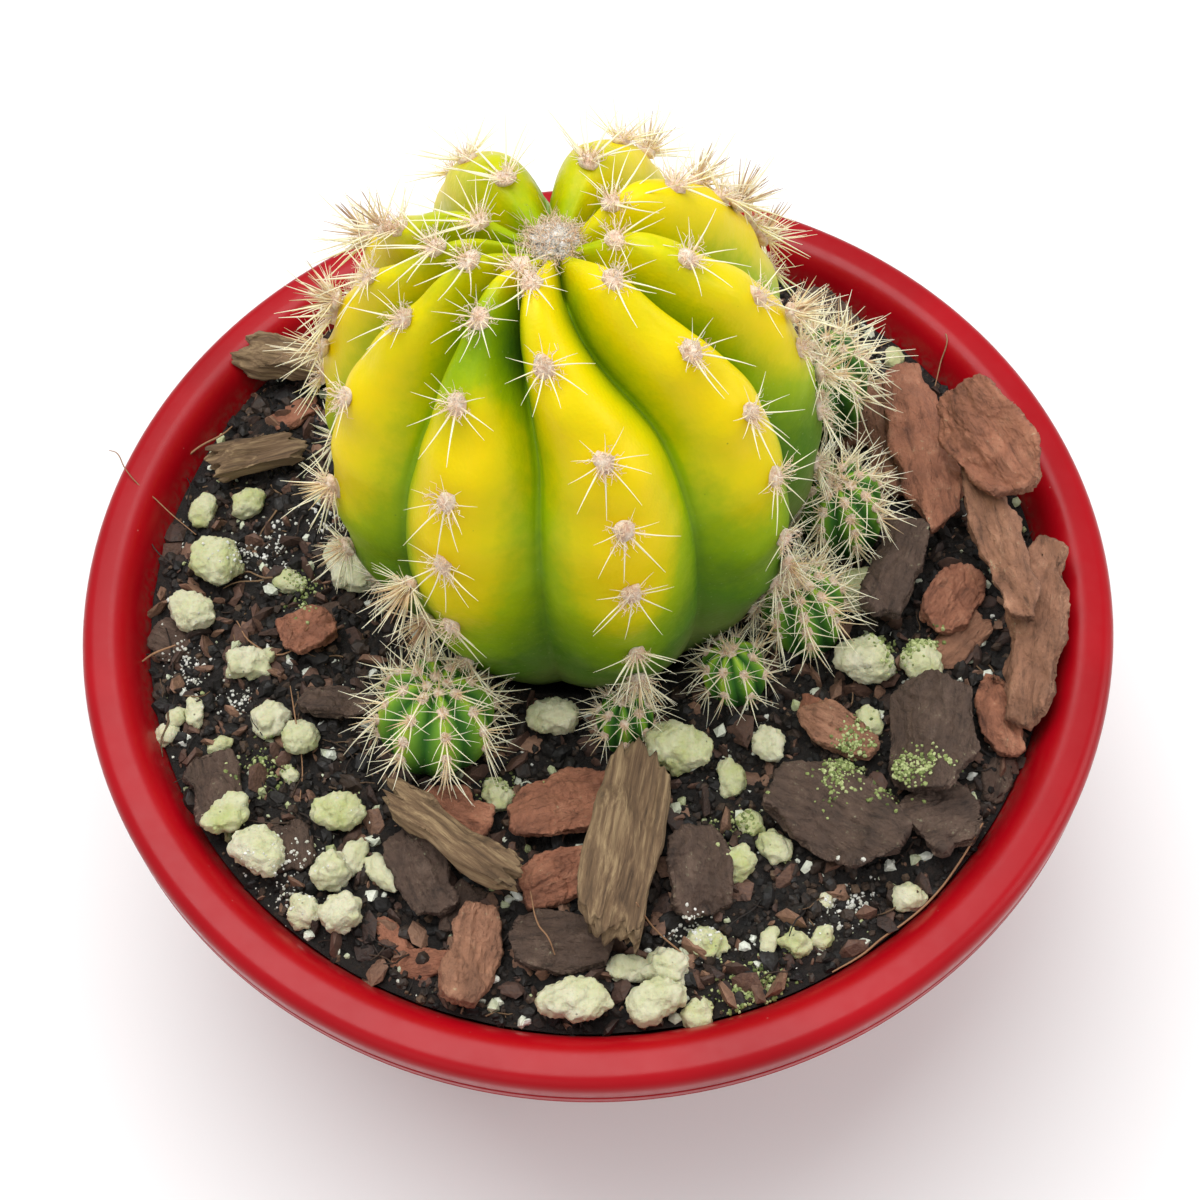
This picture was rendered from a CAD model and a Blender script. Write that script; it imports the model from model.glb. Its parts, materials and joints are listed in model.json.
"""Looks of a potted round cactus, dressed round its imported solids.

Metres, +Z up. The origin is the middle of the pot's foot and the front faces -Y. Bearings are
degrees round a vertical axis from the front, growing towards +X.
"""

import sys

import json
import logging
import math
from dataclasses import dataclass, field
from enum import Enum
from typing import Any, Sequence

import bmesh
import bpy
import numpy as np
from mathutils import Euler, Matrix, Vector, noise
from mathutils.bvhtree import BVHTree


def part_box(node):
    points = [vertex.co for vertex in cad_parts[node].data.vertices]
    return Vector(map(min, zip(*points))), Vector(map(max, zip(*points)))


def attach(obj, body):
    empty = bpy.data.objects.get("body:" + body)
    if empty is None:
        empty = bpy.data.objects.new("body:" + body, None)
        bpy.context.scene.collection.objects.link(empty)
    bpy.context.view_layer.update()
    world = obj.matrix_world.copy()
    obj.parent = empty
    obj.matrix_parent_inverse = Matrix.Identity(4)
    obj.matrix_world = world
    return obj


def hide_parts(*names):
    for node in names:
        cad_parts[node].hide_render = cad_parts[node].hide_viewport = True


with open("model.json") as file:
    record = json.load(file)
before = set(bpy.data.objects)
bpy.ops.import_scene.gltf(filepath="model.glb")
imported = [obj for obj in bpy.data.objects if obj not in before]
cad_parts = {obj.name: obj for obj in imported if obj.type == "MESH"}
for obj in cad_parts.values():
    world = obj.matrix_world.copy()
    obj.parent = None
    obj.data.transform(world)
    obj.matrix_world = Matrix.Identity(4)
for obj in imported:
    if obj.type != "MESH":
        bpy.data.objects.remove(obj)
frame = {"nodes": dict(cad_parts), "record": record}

MM = 0.001
LOG = logging.getLogger("round_cactus")
SEED = 20
GROOVE_POWER = 1.75
MIX_LEVEL = 0.0834
DROP_HEIGHT = 0.2
UP = np.array([0.0, 0.0, 1.0])
DOWN = Vector((0.0, 0.0, -1.0))

Shade = tuple[int, int, int]
Stops = Sequence[tuple[float, Shade]]


def paint(shade: Shade) -> tuple[float, float, float, float]:
    """Turn an 8-bit display colour into the linear colour that a node takes.

    Args:
        shade: Red, green and blue from 0 to 255.

    Returns:
        The linear colour with full alpha.
    """
    shares = [part / 255.0 for part in shade]
    curve = [s / 12.92 if s <= 0.04045 else ((s + 0.055) / 1.055) ** 2.4 for s in shares]
    return (*curve, 1.0)


def smooth_step(low: float, high: float, value: np.ndarray) -> np.ndarray:
    """Rise smoothly from 0 at low to 1 at high, one share for each number."""
    share = np.clip((value - low) / (high - low), 0.0, 1.0)
    return share * share * (3.0 - 2.0 * share)


def unit(vectors: np.ndarray) -> np.ndarray:
    """Scale each row to length one."""
    return vectors / np.maximum(np.linalg.norm(vectors, axis=-1, keepdims=True), 1e-12)


class NodeBench:
    """Lays nodes into one tree and joins them up."""

    def __init__(self, tree: bpy.types.NodeTree) -> None:
        """Work on a tree."""
        self.tree = tree

    def add(self, kind: str, inputs: dict | None = None, **settings: Any) -> bpy.types.Node:
        """Add one node.

        Args:
            kind: Blender's name for the node.
            inputs: A socket or a plain value for each input, by name or by number.
            **settings: The node's own properties.

        Returns:
            The new node.
        """
        node = self.tree.nodes.new(kind)
        for key, value in settings.items():
            setattr(node, key, value)
        for key, value in (inputs or {}).items():
            socket = node.inputs[key]
            if isinstance(value, bpy.types.NodeSocket):
                self.tree.links.new(value, socket)
            else:
                socket.default_value = value
        return node

    def maths(self, operation: str, first: Any, second: Any = 0.0) -> bpy.types.NodeSocket:
        """Join two sockets or numbers by the sum that Blender calls by this name."""
        node = self.add("ShaderNodeMath", {0: first, 1: second}, operation=operation)
        return node.outputs[0]

    def times(self, first: Any, second: Any) -> bpy.types.NodeSocket:
        """Multiply two numbers."""
        return self.maths("MULTIPLY", first, second)

    def plus(self, first: Any, second: Any) -> bpy.types.NodeSocket:
        """Add two numbers."""
        return self.maths("ADD", first, second)

    def span(self, value: Any, low: float, high: float, start: Any, end: Any) -> bpy.types.NodeSocket:
        """Carry a number from low and high to start and end, and stop at its ends."""
        inputs = {"Value": value, "From Min": low, "From Max": high, "To Min": start, "To Max": end}
        return self.add("ShaderNodeMapRange", inputs).outputs[0]


class FinishBench(NodeBench):
    """Lays out the nodes of one material."""

    def __init__(self, name: str) -> None:
        """Open a new material.

        Args:
            name: The material's name.
        """
        self.material = bpy.data.materials.new(name)
        self.material.use_nodes = True
        super().__init__(self.material.node_tree)
        self.shader = self.tree.nodes["Principled BSDF"]

    def place(self) -> bpy.types.NodeSocket:
        """Give the place on the object, in metres."""
        return self.add("ShaderNodeTexCoord").outputs["Object"]

    def stored(self, name: str) -> bpy.types.Node:
        """Read an attribute that is stored on the mesh."""
        return self.add("ShaderNodeAttribute", attribute_name=name)

    def stretch(self, vector: bpy.types.NodeSocket, scale: Sequence[float]) -> bpy.types.NodeSocket:
        """Draw a place out by its own scale, in counts to the metre, along each axis."""
        return self.add("ShaderNodeMapping", {"Vector": vector, "Scale": tuple(scale)}).outputs[0]

    def mottle(
        self, at: bpy.types.NodeSocket, scale: float, detail: float = 3.0, rough: float = 0.55,
        twist: float = 0.0
    ) -> bpy.types.NodeSocket:
        """Make cloudy noise.

        Args:
            at: The place it is read at.
            scale: Clouds to the metre.
            detail: How many finer layers it has.
            rough: How strong those are.
            twist: How far it is drawn about.

        Returns:
            The noise, from 0 to 1.
        """
        inputs = {
            "Vector": at,
            "Scale": scale,
            "Detail": detail,
            "Roughness": rough,
            "Distortion": twist,
        }
        return self.add("ShaderNodeTexNoise", inputs).outputs[0]

    def cells(self, at: bpy.types.NodeSocket, scale: float) -> bpy.types.NodeSocket:
        """Give the distance, in cells, to the nearest of many points scattered so many to the metre."""
        return self.add("ShaderNodeTexVoronoi", {"Vector": at, "Scale": scale}).outputs["Distance"]

    def ramp(self, factor: bpy.types.NodeSocket, stops: Stops) -> bpy.types.NodeSocket:
        """Colour a number by a row of stops.

        Args:
            factor: The number.
            stops: A place and a display colour for each stop.

        Returns:
            The colour.
        """
        node = self.add("ShaderNodeValToRGB", {0: factor})
        places = node.color_ramp.elements
        while len(places) < len(stops):
            places.new(0.5)
        for element, (position, shade) in zip(places, stops):
            element.position = position
            element.color = paint(shade)
        return node.outputs[0]

    def blend(self, factor: Any, first: Any, second: Any) -> bpy.types.NodeSocket:
        """Blend two colours.

        Args:
            factor: How much of the second, from 0 to 1.
            first: A socket or a display colour.
            second: A socket or a display colour.

        Returns:
            The blended colour.
        """
        colours = [c if isinstance(c, bpy.types.NodeSocket) else paint(c) for c in (first, second)]
        inputs = {0: factor, 6: colours[0], 7: colours[1]}
        return self.add("ShaderNodeMix", inputs, data_type="RGBA").outputs[2]

    def emboss(
        self, height: bpy.types.NodeSocket, depth: float, strength: float = 1.0,
        over: bpy.types.NodeSocket | None = None
    ) -> bpy.types.NodeSocket:
        """Raise a pattern in the light.

        Args:
            height: The pattern.
            depth: How deep it is, in metres.
            strength: How much of it shows.
            over: A normal that already carries a coarser pattern.

        Returns:
            The new normal.
        """
        inputs = {"Height": height, "Distance": depth, "Strength": strength}
        if over is not None:
            inputs["Normal"] = over
        return self.add("ShaderNodeBump", inputs).outputs[0]

    def finish(
        self,
        colour: bpy.types.NodeSocket,
        roughness: Any,
        normal: bpy.types.NodeSocket,
        **steady: Any,
    ) -> bpy.types.Material:
        """Join everything to the shader.

        Args:
            colour: The base colour.
            roughness: A socket or a number.
            normal: The bumped normal.
            **steady: Numbers and colours that are the same all over.

        Returns:
            The finished material.
        """
        self.tree.links.new(colour, self.shader.inputs["Base Color"])
        self.tree.links.new(normal, self.shader.inputs["Normal"])
        if isinstance(roughness, bpy.types.NodeSocket):
            self.tree.links.new(roughness, self.shader.inputs["Roughness"])
        else:
            self.shader.inputs["Roughness"].default_value = roughness
        for key, value in steady.items():
            self.shader.inputs[key.replace("_", " ").title().replace("Ior", "IOR")].default_value = value
        return self.material


@dataclass(frozen=True)
class GlossPlastic:
    """Moulded glossy plastic, dusty where the mix meets it."""

    name: str = "gloss_red_plastic"
    body: Shade = (166, 4, 20)
    deep: Shade = (150, 3, 16)
    film: Shade = (120, 62, 52)
    mix_line: float = 0.0836
    inner_face: float = 0.0785

    def make(self) -> bpy.types.Material:
        """Lay out the material."""
        bench = FinishBench(self.name)
        at = bench.place()
        parts = bench.add("ShaderNodeSeparateXYZ", {0: at})
        reach = bench.add("ShaderNodeCombineXYZ", {0: parts.outputs[0], 1: parts.outputs[1]})
        radius = bench.add(
            "ShaderNodeVectorMath", {0: reach.outputs[0]}, operation="LENGTH"
        ).outputs["Value"]
        streaks = bench.mottle(bench.stretch(at, (420.0, 420.0, 26.0)), 1.0, 3.0, 0.6)
        clouds = bench.mottle(at, 38.0, 2.0)
        colour = bench.blend(bench.span(clouds, 0.35, 0.7, 0.0, 1.0), self.body, self.deep)
        grit = bench.mottle(at, 900.0, 4.0, 0.7)
        near_mix = bench.span(parts.outputs[2], self.mix_line, self.mix_line + 0.0034, 1.0, 0.0)
        inside = bench.span(radius, self.inner_face, self.inner_face + 0.001, 1.0, 0.0)
        low, high = self.mix_line - 0.0014, self.mix_line - 0.0006
        inside = bench.times(inside, bench.span(parts.outputs[2], low, high, 0.0, 1.0))
        dirty = bench.times(near_mix, inside)
        dirty = bench.times(dirty, bench.span(grit, 0.42, 0.62, 0.0, 0.75))
        colour = bench.blend(dirty, colour, self.film)
        specks = bench.span(bench.cells(at, 260.0), 0.0, 0.045, 0.35, 0.0)
        specks = bench.times(specks, inside)
        colour = bench.blend(specks, colour, (214, 190, 180))
        gloss = bench.span(streaks, 0.3, 0.75, 0.28, 0.38)
        gloss = bench.plus(gloss, bench.times(dirty, 0.4))
        normal = bench.emboss(bench.mottle(at, 120.0, 2.0), 0.00003)
        normal = bench.emboss(streaks, 0.000012, 1.0, normal)
        return bench.finish(colour, gloss, normal, specular_ior_level=0.22)


@dataclass(frozen=True)
class CactusSkin:
    """Waxy living skin, coloured by the greenness stored on the mesh."""

    name: str
    stops: Stops
    bloom: Shade = (196, 205, 150)
    freckle: Shade = (60, 100, 20)
    gloss: float = 0.40

    def make(self) -> bpy.types.Material:
        """Lay out the material."""
        bench = FinishBench(self.name)
        at = bench.place()
        green = bench.stored("green").outputs["Fac"]
        soft = bench.mottle(at, 70.0, 3.0, 0.5)
        fine = bench.mottle(at, 620.0, 4.0, 0.6)
        shifted = bench.plus(green, bench.span(soft, 0.3, 0.7, -0.055, 0.055))
        shifted = bench.plus(shifted, bench.span(fine, 0.3, 0.7, -0.03, 0.03))
        colour = bench.ramp(shifted, self.stops)
        dots = bench.span(bench.cells(at, 820.0), 0.05, 0.16, 1.0, 0.0)
        on_green = bench.span(green, 0.35, 0.8, 0.02, 0.26)
        colour = bench.blend(bench.times(dots, on_green), colour, self.bloom)
        spots = bench.span(bench.cells(at, 150.0), 0.012, 0.03, 0.5, 0.0)
        colour = bench.blend(spots, colour, self.freckle)
        rough = bench.span(fine, 0.3, 0.7, self.gloss - 0.05, self.gloss + 0.08)
        normal = bench.emboss(bench.mottle(at, 240.0, 2.0), 0.00010)
        normal = bench.emboss(bench.cells(at, 1700.0), 0.00004, 0.7, normal)
        return bench.finish(
            colour, rough, normal, subsurface_weight=0.12, subsurface_radius=(1.0, 0.75, 0.08),
            subsurface_scale=0.0016, specular_ior_level=0.16, coat_weight=0.02, coat_roughness=0.25
        )


class BarkTone(Enum):
    """Colours of the bark: crack, body and worn face."""

    RED = ((58, 32, 24), (160, 104, 78), (208, 152, 120))
    BROWN = ((50, 34, 25), (156, 110, 84), (206, 156, 124))
    DARK = ((30, 23, 20), (88, 68, 56), (136, 114, 98))


@dataclass(frozen=True)
class Bark:
    """Flaky bark whose grain runs along each piece's stored long side."""

    name: str
    tone: BarkTone
    dust: Shade = (196, 200, 160)
    dusting: float = 0.5

    def make(self) -> bpy.types.Material:
        """Lay out the material."""
        bench = FinishBench(self.name)
        grain = bench.stored("grain").outputs["Vector"]
        crack, body, worn = self.tone.value
        run = bench.mottle(bench.stretch(grain, (150.0, 620.0, 900.0)), 1.0, 6.0, 0.68, 0.5)
        clouds = bench.mottle(grain, 210.0, 4.0, 0.6)
        colour = bench.ramp(run, ((0.30, crack), (0.47, body), (0.60, body), (0.78, worn)))
        tinted = bench.blend(0.4, colour, bench.ramp(clouds, ((0.3, crack), (0.55, body), (0.75, worn))))
        edge = bench.stored("edge").outputs["Fac"]
        chips = bench.mottle(grain, 1300.0, 4.0, 0.7)
        pale = bench.times(edge, bench.span(chips, 0.52, 0.66, 0.0, self.dusting))
        colour = bench.blend(pale, tinted, worn)
        powder = bench.times(
            bench.span(clouds, 0.5, 0.72, 0.0, 1.0), bench.span(chips, 0.60, 0.70, 0.0, 0.75)
        )
        colour = bench.blend(powder, colour, self.dust)
        rough = bench.span(run, 0.3, 0.7, 0.92, 0.66)
        plates = bench.cells(bench.stretch(grain, (130.0, 330.0, 330.0)), 1.0)
        normal = bench.emboss(plates, 0.0009, 1.0)
        normal = bench.emboss(run, 0.0012, 1.0, normal)
        normal = bench.emboss(chips, 0.0004, 1.0, normal)
        return bench.finish(colour, rough, normal)


@dataclass(frozen=True)
class WoodFibre:
    """Split, fibrous wood with its strands along the stored long side."""

    name: str = "split_wood_fibre"
    gap: Shade = (52, 38, 26)
    strand: Shade = (110, 86, 62)
    frayed: Shade = (166, 142, 106)

    def make(self) -> bpy.types.Material:
        """Lay out the material."""
        bench = FinishBench(self.name)
        grain = bench.stored("grain").outputs["Vector"]
        strands = bench.mottle(bench.stretch(grain, (60.0, 1500.0, 1500.0)), 1.0, 5.0, 0.7, 0.25)
        bands = bench.mottle(bench.stretch(grain, (40.0, 380.0, 380.0)), 1.0, 3.0, 0.6, 0.3)
        both = bench.plus(bench.times(strands, 0.6), bench.times(bands, 0.4))
        colour = bench.ramp(both, ((0.34, self.gap), (0.50, self.strand), (0.66, self.frayed)))
        edge = bench.stored("edge").outputs["Fac"]
        colour = bench.blend(bench.times(edge, 0.35), colour, self.frayed)
        normal = bench.emboss(both, 0.0009, 1.0)
        return bench.finish(colour, 0.9, normal)


@dataclass(frozen=True)
class Perlite:
    """Puffed, pitted perlite with a film of green algae."""

    name: str
    white: Shade = (214, 210, 184)
    algae: Shade = (180, 186, 122)
    least: float = 0.0
    most: float = 0.75

    def make(self) -> bpy.types.Material:
        """Lay out the material."""
        bench = FinishBench(self.name)
        at = bench.place()
        film = bench.mottle(at, 210.0, 4.0, 0.62)
        grit = bench.mottle(at, 1500.0, 5.0, 0.7)
        colour = bench.blend(bench.span(film, 0.38, 0.66, self.least, self.most), self.white, self.algae)
        colour = bench.blend(bench.span(grit, 0.3, 0.46, 0.30, 0.0), colour, (134, 136, 104))
        soot = bench.span(bench.cells(at, 420.0), 0.03, 0.10, 0.8, 0.0)
        colour = bench.blend(soot, colour, (52, 46, 36))
        normal = bench.emboss(bench.cells(at, 760.0), 0.00035, 0.9)
        normal = bench.emboss(grit, 0.0003, 1.0, normal)
        return bench.finish(colour, 0.88, normal, subsurface_weight=0.1, subsurface_scale=0.001)


@dataclass(frozen=True)
class Soil:
    """Damp black potting mix with brown fibres and pale grit in it."""

    name: str = "damp_potting_mix"
    black: Shade = (17, 14, 12)
    brown: Shade = (62, 46, 35)
    grit: Shade = (148, 150, 128)

    def make(self) -> bpy.types.Material:
        """Lay out the material."""
        bench = FinishBench(self.name)
        at = bench.place()
        clods = bench.mottle(at, 330.0, 6.0, 0.7, 0.4)
        crumbs = bench.mottle(at, 1700.0, 5.0, 0.75)
        strands = bench.mottle(bench.stretch(at, (1900.0, 240.0, 900.0)), 1.0, 3.0, 0.6, 1.4)
        colour = bench.ramp(clods, ((0.36, self.black), (0.56, (30, 23, 18)), (0.72, self.brown)))
        colour = bench.blend(bench.span(strands, 0.62, 0.72, 0.0, 0.7), colour, self.brown)
        flecks = bench.span(bench.cells(at, 520.0), 0.03, 0.12, 0.55, 0.0)
        colour = bench.blend(flecks, colour, self.grit)
        rough = bench.span(crumbs, 0.3, 0.7, 0.46, 0.95)
        normal = bench.emboss(clods, 0.0012, 1.0)
        normal = bench.emboss(crumbs, 0.0006, 1.0, normal)
        return bench.finish(colour, rough, normal)


@dataclass(frozen=True)
class TonedGrit:
    """Small loose stuff, each piece with its own stored tone."""

    name: str
    stops: Stops
    roughness: float = 0.85
    grain: float = 1600.0

    def make(self) -> bpy.types.Material:
        """Lay out the material."""
        bench = FinishBench(self.name)
        at = bench.place()
        fine = bench.mottle(at, self.grain, 3.0, 0.6)
        tone = bench.plus(bench.stored("tone").outputs["Fac"], bench.span(fine, 0.3, 0.7, -0.12, 0.12))
        colour = bench.ramp(tone, self.stops)
        rough = bench.span(fine, 0.3, 0.7, self.roughness - 0.25, self.roughness)
        return bench.finish(colour, rough, bench.emboss(fine, 0.0003, 1.0))


@dataclass(frozen=True)
class SpineHorn:
    """Horny, half-clear spine, brown at the tip where its stored tone is high."""

    name: str = "spine_horn"
    root: Shade = (238, 206, 168)
    cream: Shade = (250, 242, 204)
    tan: Shade = (234, 204, 160)
    tip: Shade = (96, 50, 30)

    def make(self) -> bpy.types.Material:
        """Lay out the material."""
        bench = FinishBench(self.name)
        along = bench.stored("along").outputs["Fac"]
        tone = bench.stored("tone").outputs["Fac"]
        shaft = bench.ramp(tone, ((0.0, self.cream), (0.45, self.tan), (1.0, self.tip)))
        colour = bench.blend(bench.span(along, 0.0, 0.28, 0.8, 0.0), shaft, self.root)
        burnt = bench.times(bench.span(along, 0.55, 1.0, 0.0, 1.0), bench.span(tone, 0.1, 0.8, 0.05, 1.0))
        colour = bench.blend(burnt, colour, self.tip)
        fine = bench.mottle(bench.place(), 2600.0, 2.0)
        normal = bench.emboss(fine, 0.00004, 0.6)
        return bench.finish(
            colour, bench.span(fine, 0.3, 0.7, 0.34, 0.5), normal, subsurface_weight=0.35,
            subsurface_radius=(1.0, 0.8, 0.5), subsurface_scale=0.0006
        )


@dataclass(frozen=True)
class Felt:
    """Matted plant wool."""

    name: str
    stops: Stops

    def make(self) -> bpy.types.Material:
        """Lay out the material."""
        bench = FinishBench(self.name)
        at = bench.place()
        clumps = bench.mottle(at, 900.0, 4.0, 0.7, 0.6)
        hairs = bench.mottle(at, 3800.0, 3.0, 0.7)
        colour = bench.ramp(clumps, self.stops)
        normal = bench.emboss(clumps, 0.0006, 1.0)
        normal = bench.emboss(hairs, 0.0002, 1.0, normal)
        return bench.finish(colour, 0.95, normal, sheen_weight=0.35, sheen_roughness=0.5)


@dataclass(frozen=True)
class PaleFloor:
    """Plain pale floor with the faintest mottling."""

    name: str = "pale_floor"
    light: Shade = (246, 246, 246)
    dark: Shade = (240, 240, 240)

    def make(self) -> bpy.types.Material:
        """Lay out the material."""
        bench = FinishBench(self.name)
        clouds = bench.mottle(bench.place(), 6.0, 2.0)
        colour = bench.blend(clouds, self.light, self.dark)
        return bench.finish(colour, 0.7, bench.emboss(clouds, 0.0001, 0.2))


class GrowthBench(NodeBench):
    """Lays out one Geometry Nodes tree with its own named sizes."""

    def __init__(self, name: str) -> None:
        """Open a new tree.

        Args:
            name: The tree's name.
        """
        super().__init__(bpy.data.node_groups.new(name, "GeometryNodeTree"))
        self.tree.interface.new_socket("Base", in_out="INPUT", socket_type="NodeSocketGeometry")
        self.tree.interface.new_socket("Grown", in_out="OUTPUT", socket_type="NodeSocketGeometry")
        self.entry = self.tree.nodes.new("NodeGroupInput")
        self.exit = self.tree.nodes.new("NodeGroupOutput")

    @property
    def base(self) -> bpy.types.NodeSocket:
        """Give the mesh that the tree starts from."""
        return self.entry.outputs["Base"]

    def size(self, name: str, kind: str = "Float") -> bpy.types.NodeSocket:
        """Open an input named for what it sizes; kind is Float, Int or Material."""
        self.tree.interface.new_socket(name, in_out="INPUT", socket_type="NodeSocket" + kind)
        return self.entry.outputs[name]

    def stored(self, name: str, kind: str = "FLOAT") -> bpy.types.NodeSocket:
        """Read an attribute that is stored on the mesh."""
        return self.add("GeometryNodeInputNamedAttribute", {"Name": name}, data_type=kind).outputs[0]

    def keep(self, geometry: Any, name: str, value: Any, domain: str = "POINT") -> bpy.types.NodeSocket:
        """Store a number on the geometry.

        Args:
            geometry: The geometry.
            name: The attribute's name.
            value: The number.
            domain: Where it is stored.

        Returns:
            The geometry with it.
        """
        inputs = {"Geometry": geometry, "Name": name, "Value": value}
        node = self.add("GeometryNodeStoreNamedAttribute", inputs, data_type="FLOAT", domain=domain)
        return node.outputs[0]

    def chance(self, low: Any, high: Any, seed: Any) -> bpy.types.NodeSocket:
        """Draw a number between low and high for each piece, fixed by the seed."""
        inputs = {2: low, 3: high, "Seed": seed}
        return self.add("FunctionNodeRandomValue", inputs, data_type="FLOAT").outputs[1]

    def close(self, geometry: bpy.types.NodeSocket, smooth: bool = True) -> None:
        """End the tree: make it real, shade it and give it its finish.

        Args:
            geometry: What the tree has grown.
            smooth: Whether it is shaded smooth.
        """
        real = self.add("GeometryNodeRealizeInstances", {"Geometry": geometry}).outputs[0]
        inputs = {"Geometry": real, "Shade Smooth": smooth}
        shaded = self.add("GeometryNodeSetShadeSmooth", inputs).outputs[0]
        inputs = {"Geometry": shaded, "Material": self.size("Finish", "Material")}
        dressed = self.add("GeometryNodeSetMaterial", inputs).outputs[0]
        self.tree.links.new(dressed, self.exit.inputs[0])

    def grow(self, base: bpy.types.Mesh, name: str, **sizes: Any) -> bpy.types.Mesh:
        """Run the tree on a mesh and keep the result as a plain mesh.

        Args:
            base: The mesh that it starts from.
            name: The new mesh's name.
            **sizes: A value for each named input, with _ for a space.

        Returns:
            The plain mesh.
        """
        holder = linked(name + "_seedbed", base)
        modifier = holder.modifiers.new("growth", "NODES")
        modifier.node_group = self.tree
        given = {key.replace("_", " ").lower(): value for key, value in sizes.items()}
        for item in self.tree.interface.items_tree:
            if item.in_out == "INPUT" and item.name.lower() in given:
                modifier[item.identifier] = given.pop(item.name.lower())
        if given:
            raise KeyError(f"{name} has no size called {sorted(given)}")
        mesh = settled_mesh(holder, name)
        bpy.data.objects.remove(holder, do_unlink=True)
        return mesh


def settled_mesh(body: bpy.types.Object, name: str) -> bpy.types.Mesh:
    """Keep an object's finished shape as a plain mesh.

    Args:
        body: The object, with its modifiers.
        name: The mesh's name.

    Returns:
        The plain mesh.
    """
    bpy.context.view_layer.update()
    graph = bpy.context.evaluated_depsgraph_get()
    mesh = bpy.data.meshes.new_from_object(body.evaluated_get(graph), depsgraph=graph)
    mesh.name = name
    body.modifiers.clear()
    return mesh


def mesh_from(name: str, shape: bmesh.types.BMesh) -> bpy.types.Mesh:
    """Keep an edited shape as a plain mesh, and let the shape go."""
    mesh = bpy.data.meshes.new(name)
    shape.to_mesh(mesh)
    shape.free()
    return mesh


def linked(name: str, data: Any) -> bpy.types.Object:
    """Add an object with some data to the scene."""
    body = bpy.data.objects.new(name, data)
    bpy.context.scene.collection.objects.link(body)
    return body


def drop(bed: BVHTree, x: float, y: float) -> tuple[Vector | None, Vector | None]:
    """Find what lies under a place, and the way it faces."""
    return bed.ray_cast(Vector((x, y, DROP_HEIGHT)), DOWN)[:2]


def mesh_of(name: str, points: np.ndarray, faces: Sequence = (), edges: Sequence = ()) -> bpy.types.Mesh:
    """Make a mesh of points and faces."""
    mesh = bpy.data.meshes.new(name)
    mesh.from_pydata(np.asarray(points, dtype=float).tolist(), list(edges), list(faces))
    mesh.update()
    return mesh


def points_of(mesh: bpy.types.Mesh) -> np.ndarray:
    """Read a mesh's points as rows."""
    rows = np.empty(len(mesh.vertices) * 3, dtype=np.float32)
    mesh.vertices.foreach_get("co", rows)
    return rows.reshape(-1, 3).astype(float)


def normals_of(mesh: bpy.types.Mesh) -> np.ndarray:
    """Read a mesh's point normals as rows."""
    rows = np.empty(len(mesh.vertices) * 3, dtype=np.float32)
    mesh.vertex_normals.foreach_get("vector", rows)
    return rows.reshape(-1, 3).astype(float)


def move_points(mesh: bpy.types.Mesh, points: np.ndarray) -> None:
    """Put a mesh's points somewhere else."""
    mesh.vertices.foreach_set("co", points.astype(np.float32).ravel())
    mesh.update()


def store(mesh: bpy.types.Mesh, name: str, values: np.ndarray) -> None:
    """Store numbers or directions on a mesh's points.

    Args:
        mesh: The mesh.
        name: The attribute's name.
        values: One number or one row of three for each point.
    """
    rows = values.ndim == 2
    layer = mesh.attributes.get(name) or mesh.attributes.new(
        name, "FLOAT_VECTOR" if rows else "FLOAT", "POINT"
    )
    layer.data.foreach_set("vector" if rows else "value", values.astype(np.float32).ravel())


def joined(name: str, meshes: Sequence[bpy.types.Mesh]) -> bpy.types.Mesh:
    """Join meshes into one, with their stored numbers.

    Args:
        name: The new mesh's name.
        meshes: The meshes, which are used up.

    Returns:
        The one mesh.
    """
    shape = bmesh.new()
    for mesh in meshes:
        shape.from_mesh(mesh)
        bpy.data.meshes.remove(mesh)
    whole = mesh_from(name, shape)
    whole.shade_smooth()
    return whole


def set_out(
    name: str, mesh: bpy.types.Mesh, finish: bpy.types.Material, slot: str, nodes: Sequence[str] = ()
) -> bpy.types.Object:
    """Add a finished piece to the object.

    Args:
        name: The piece's name.
        mesh: Its plain mesh, already in place.
        finish: Its material.
        slot: The record's material slot.
        nodes: The solids it stands for.

    Returns:
        The piece.
    """
    mesh.materials.clear()
    mesh.materials.append(finish)
    piece = linked(name, mesh)
    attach(piece, "root")
    if nodes:
        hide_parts(*nodes)
    LOG.info(
        "%s: %d faces, slot %s, stands for %s", name, len(mesh.polygons), slot, list(nodes) or "nothing"
    )
    return piece


def solid_copy(node: str) -> bpy.types.Mesh:
    """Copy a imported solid's mesh and merge its loose triangles.

    Args:
        node: The solid's name.

    Returns:
        A closed mesh.
    """
    shape = bmesh.new()
    shape.from_mesh(frame["nodes"][node].data)
    bmesh.ops.remove_doubles(shape, verts=shape.verts, dist=0.000002)
    return mesh_from(node + "_copy", shape)


def middle_of(node: str) -> np.ndarray:
    """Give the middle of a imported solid's box."""
    low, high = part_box(node)
    return (np.array(low) + np.array(high)) / 2.0


def seated(points: np.ndarray, node: str) -> np.ndarray:
    """Give the move that puts the middle of some points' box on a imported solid's."""
    return middle_of(node) - (points.min(axis=0) + points.max(axis=0)) / 2.0


def tree_of(bodies: Sequence[bpy.types.Mesh]) -> BVHTree:
    """Make one search tree of several meshes."""
    corners: list = []
    faces: list = []
    for mesh in bodies:
        start = len(corners)
        corners += points_of(mesh).tolist()
        faces += [tuple(start + i for i in face.vertices) for face in mesh.polygons]
    return BVHTree.FromPolygons(corners, faces)


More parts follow.
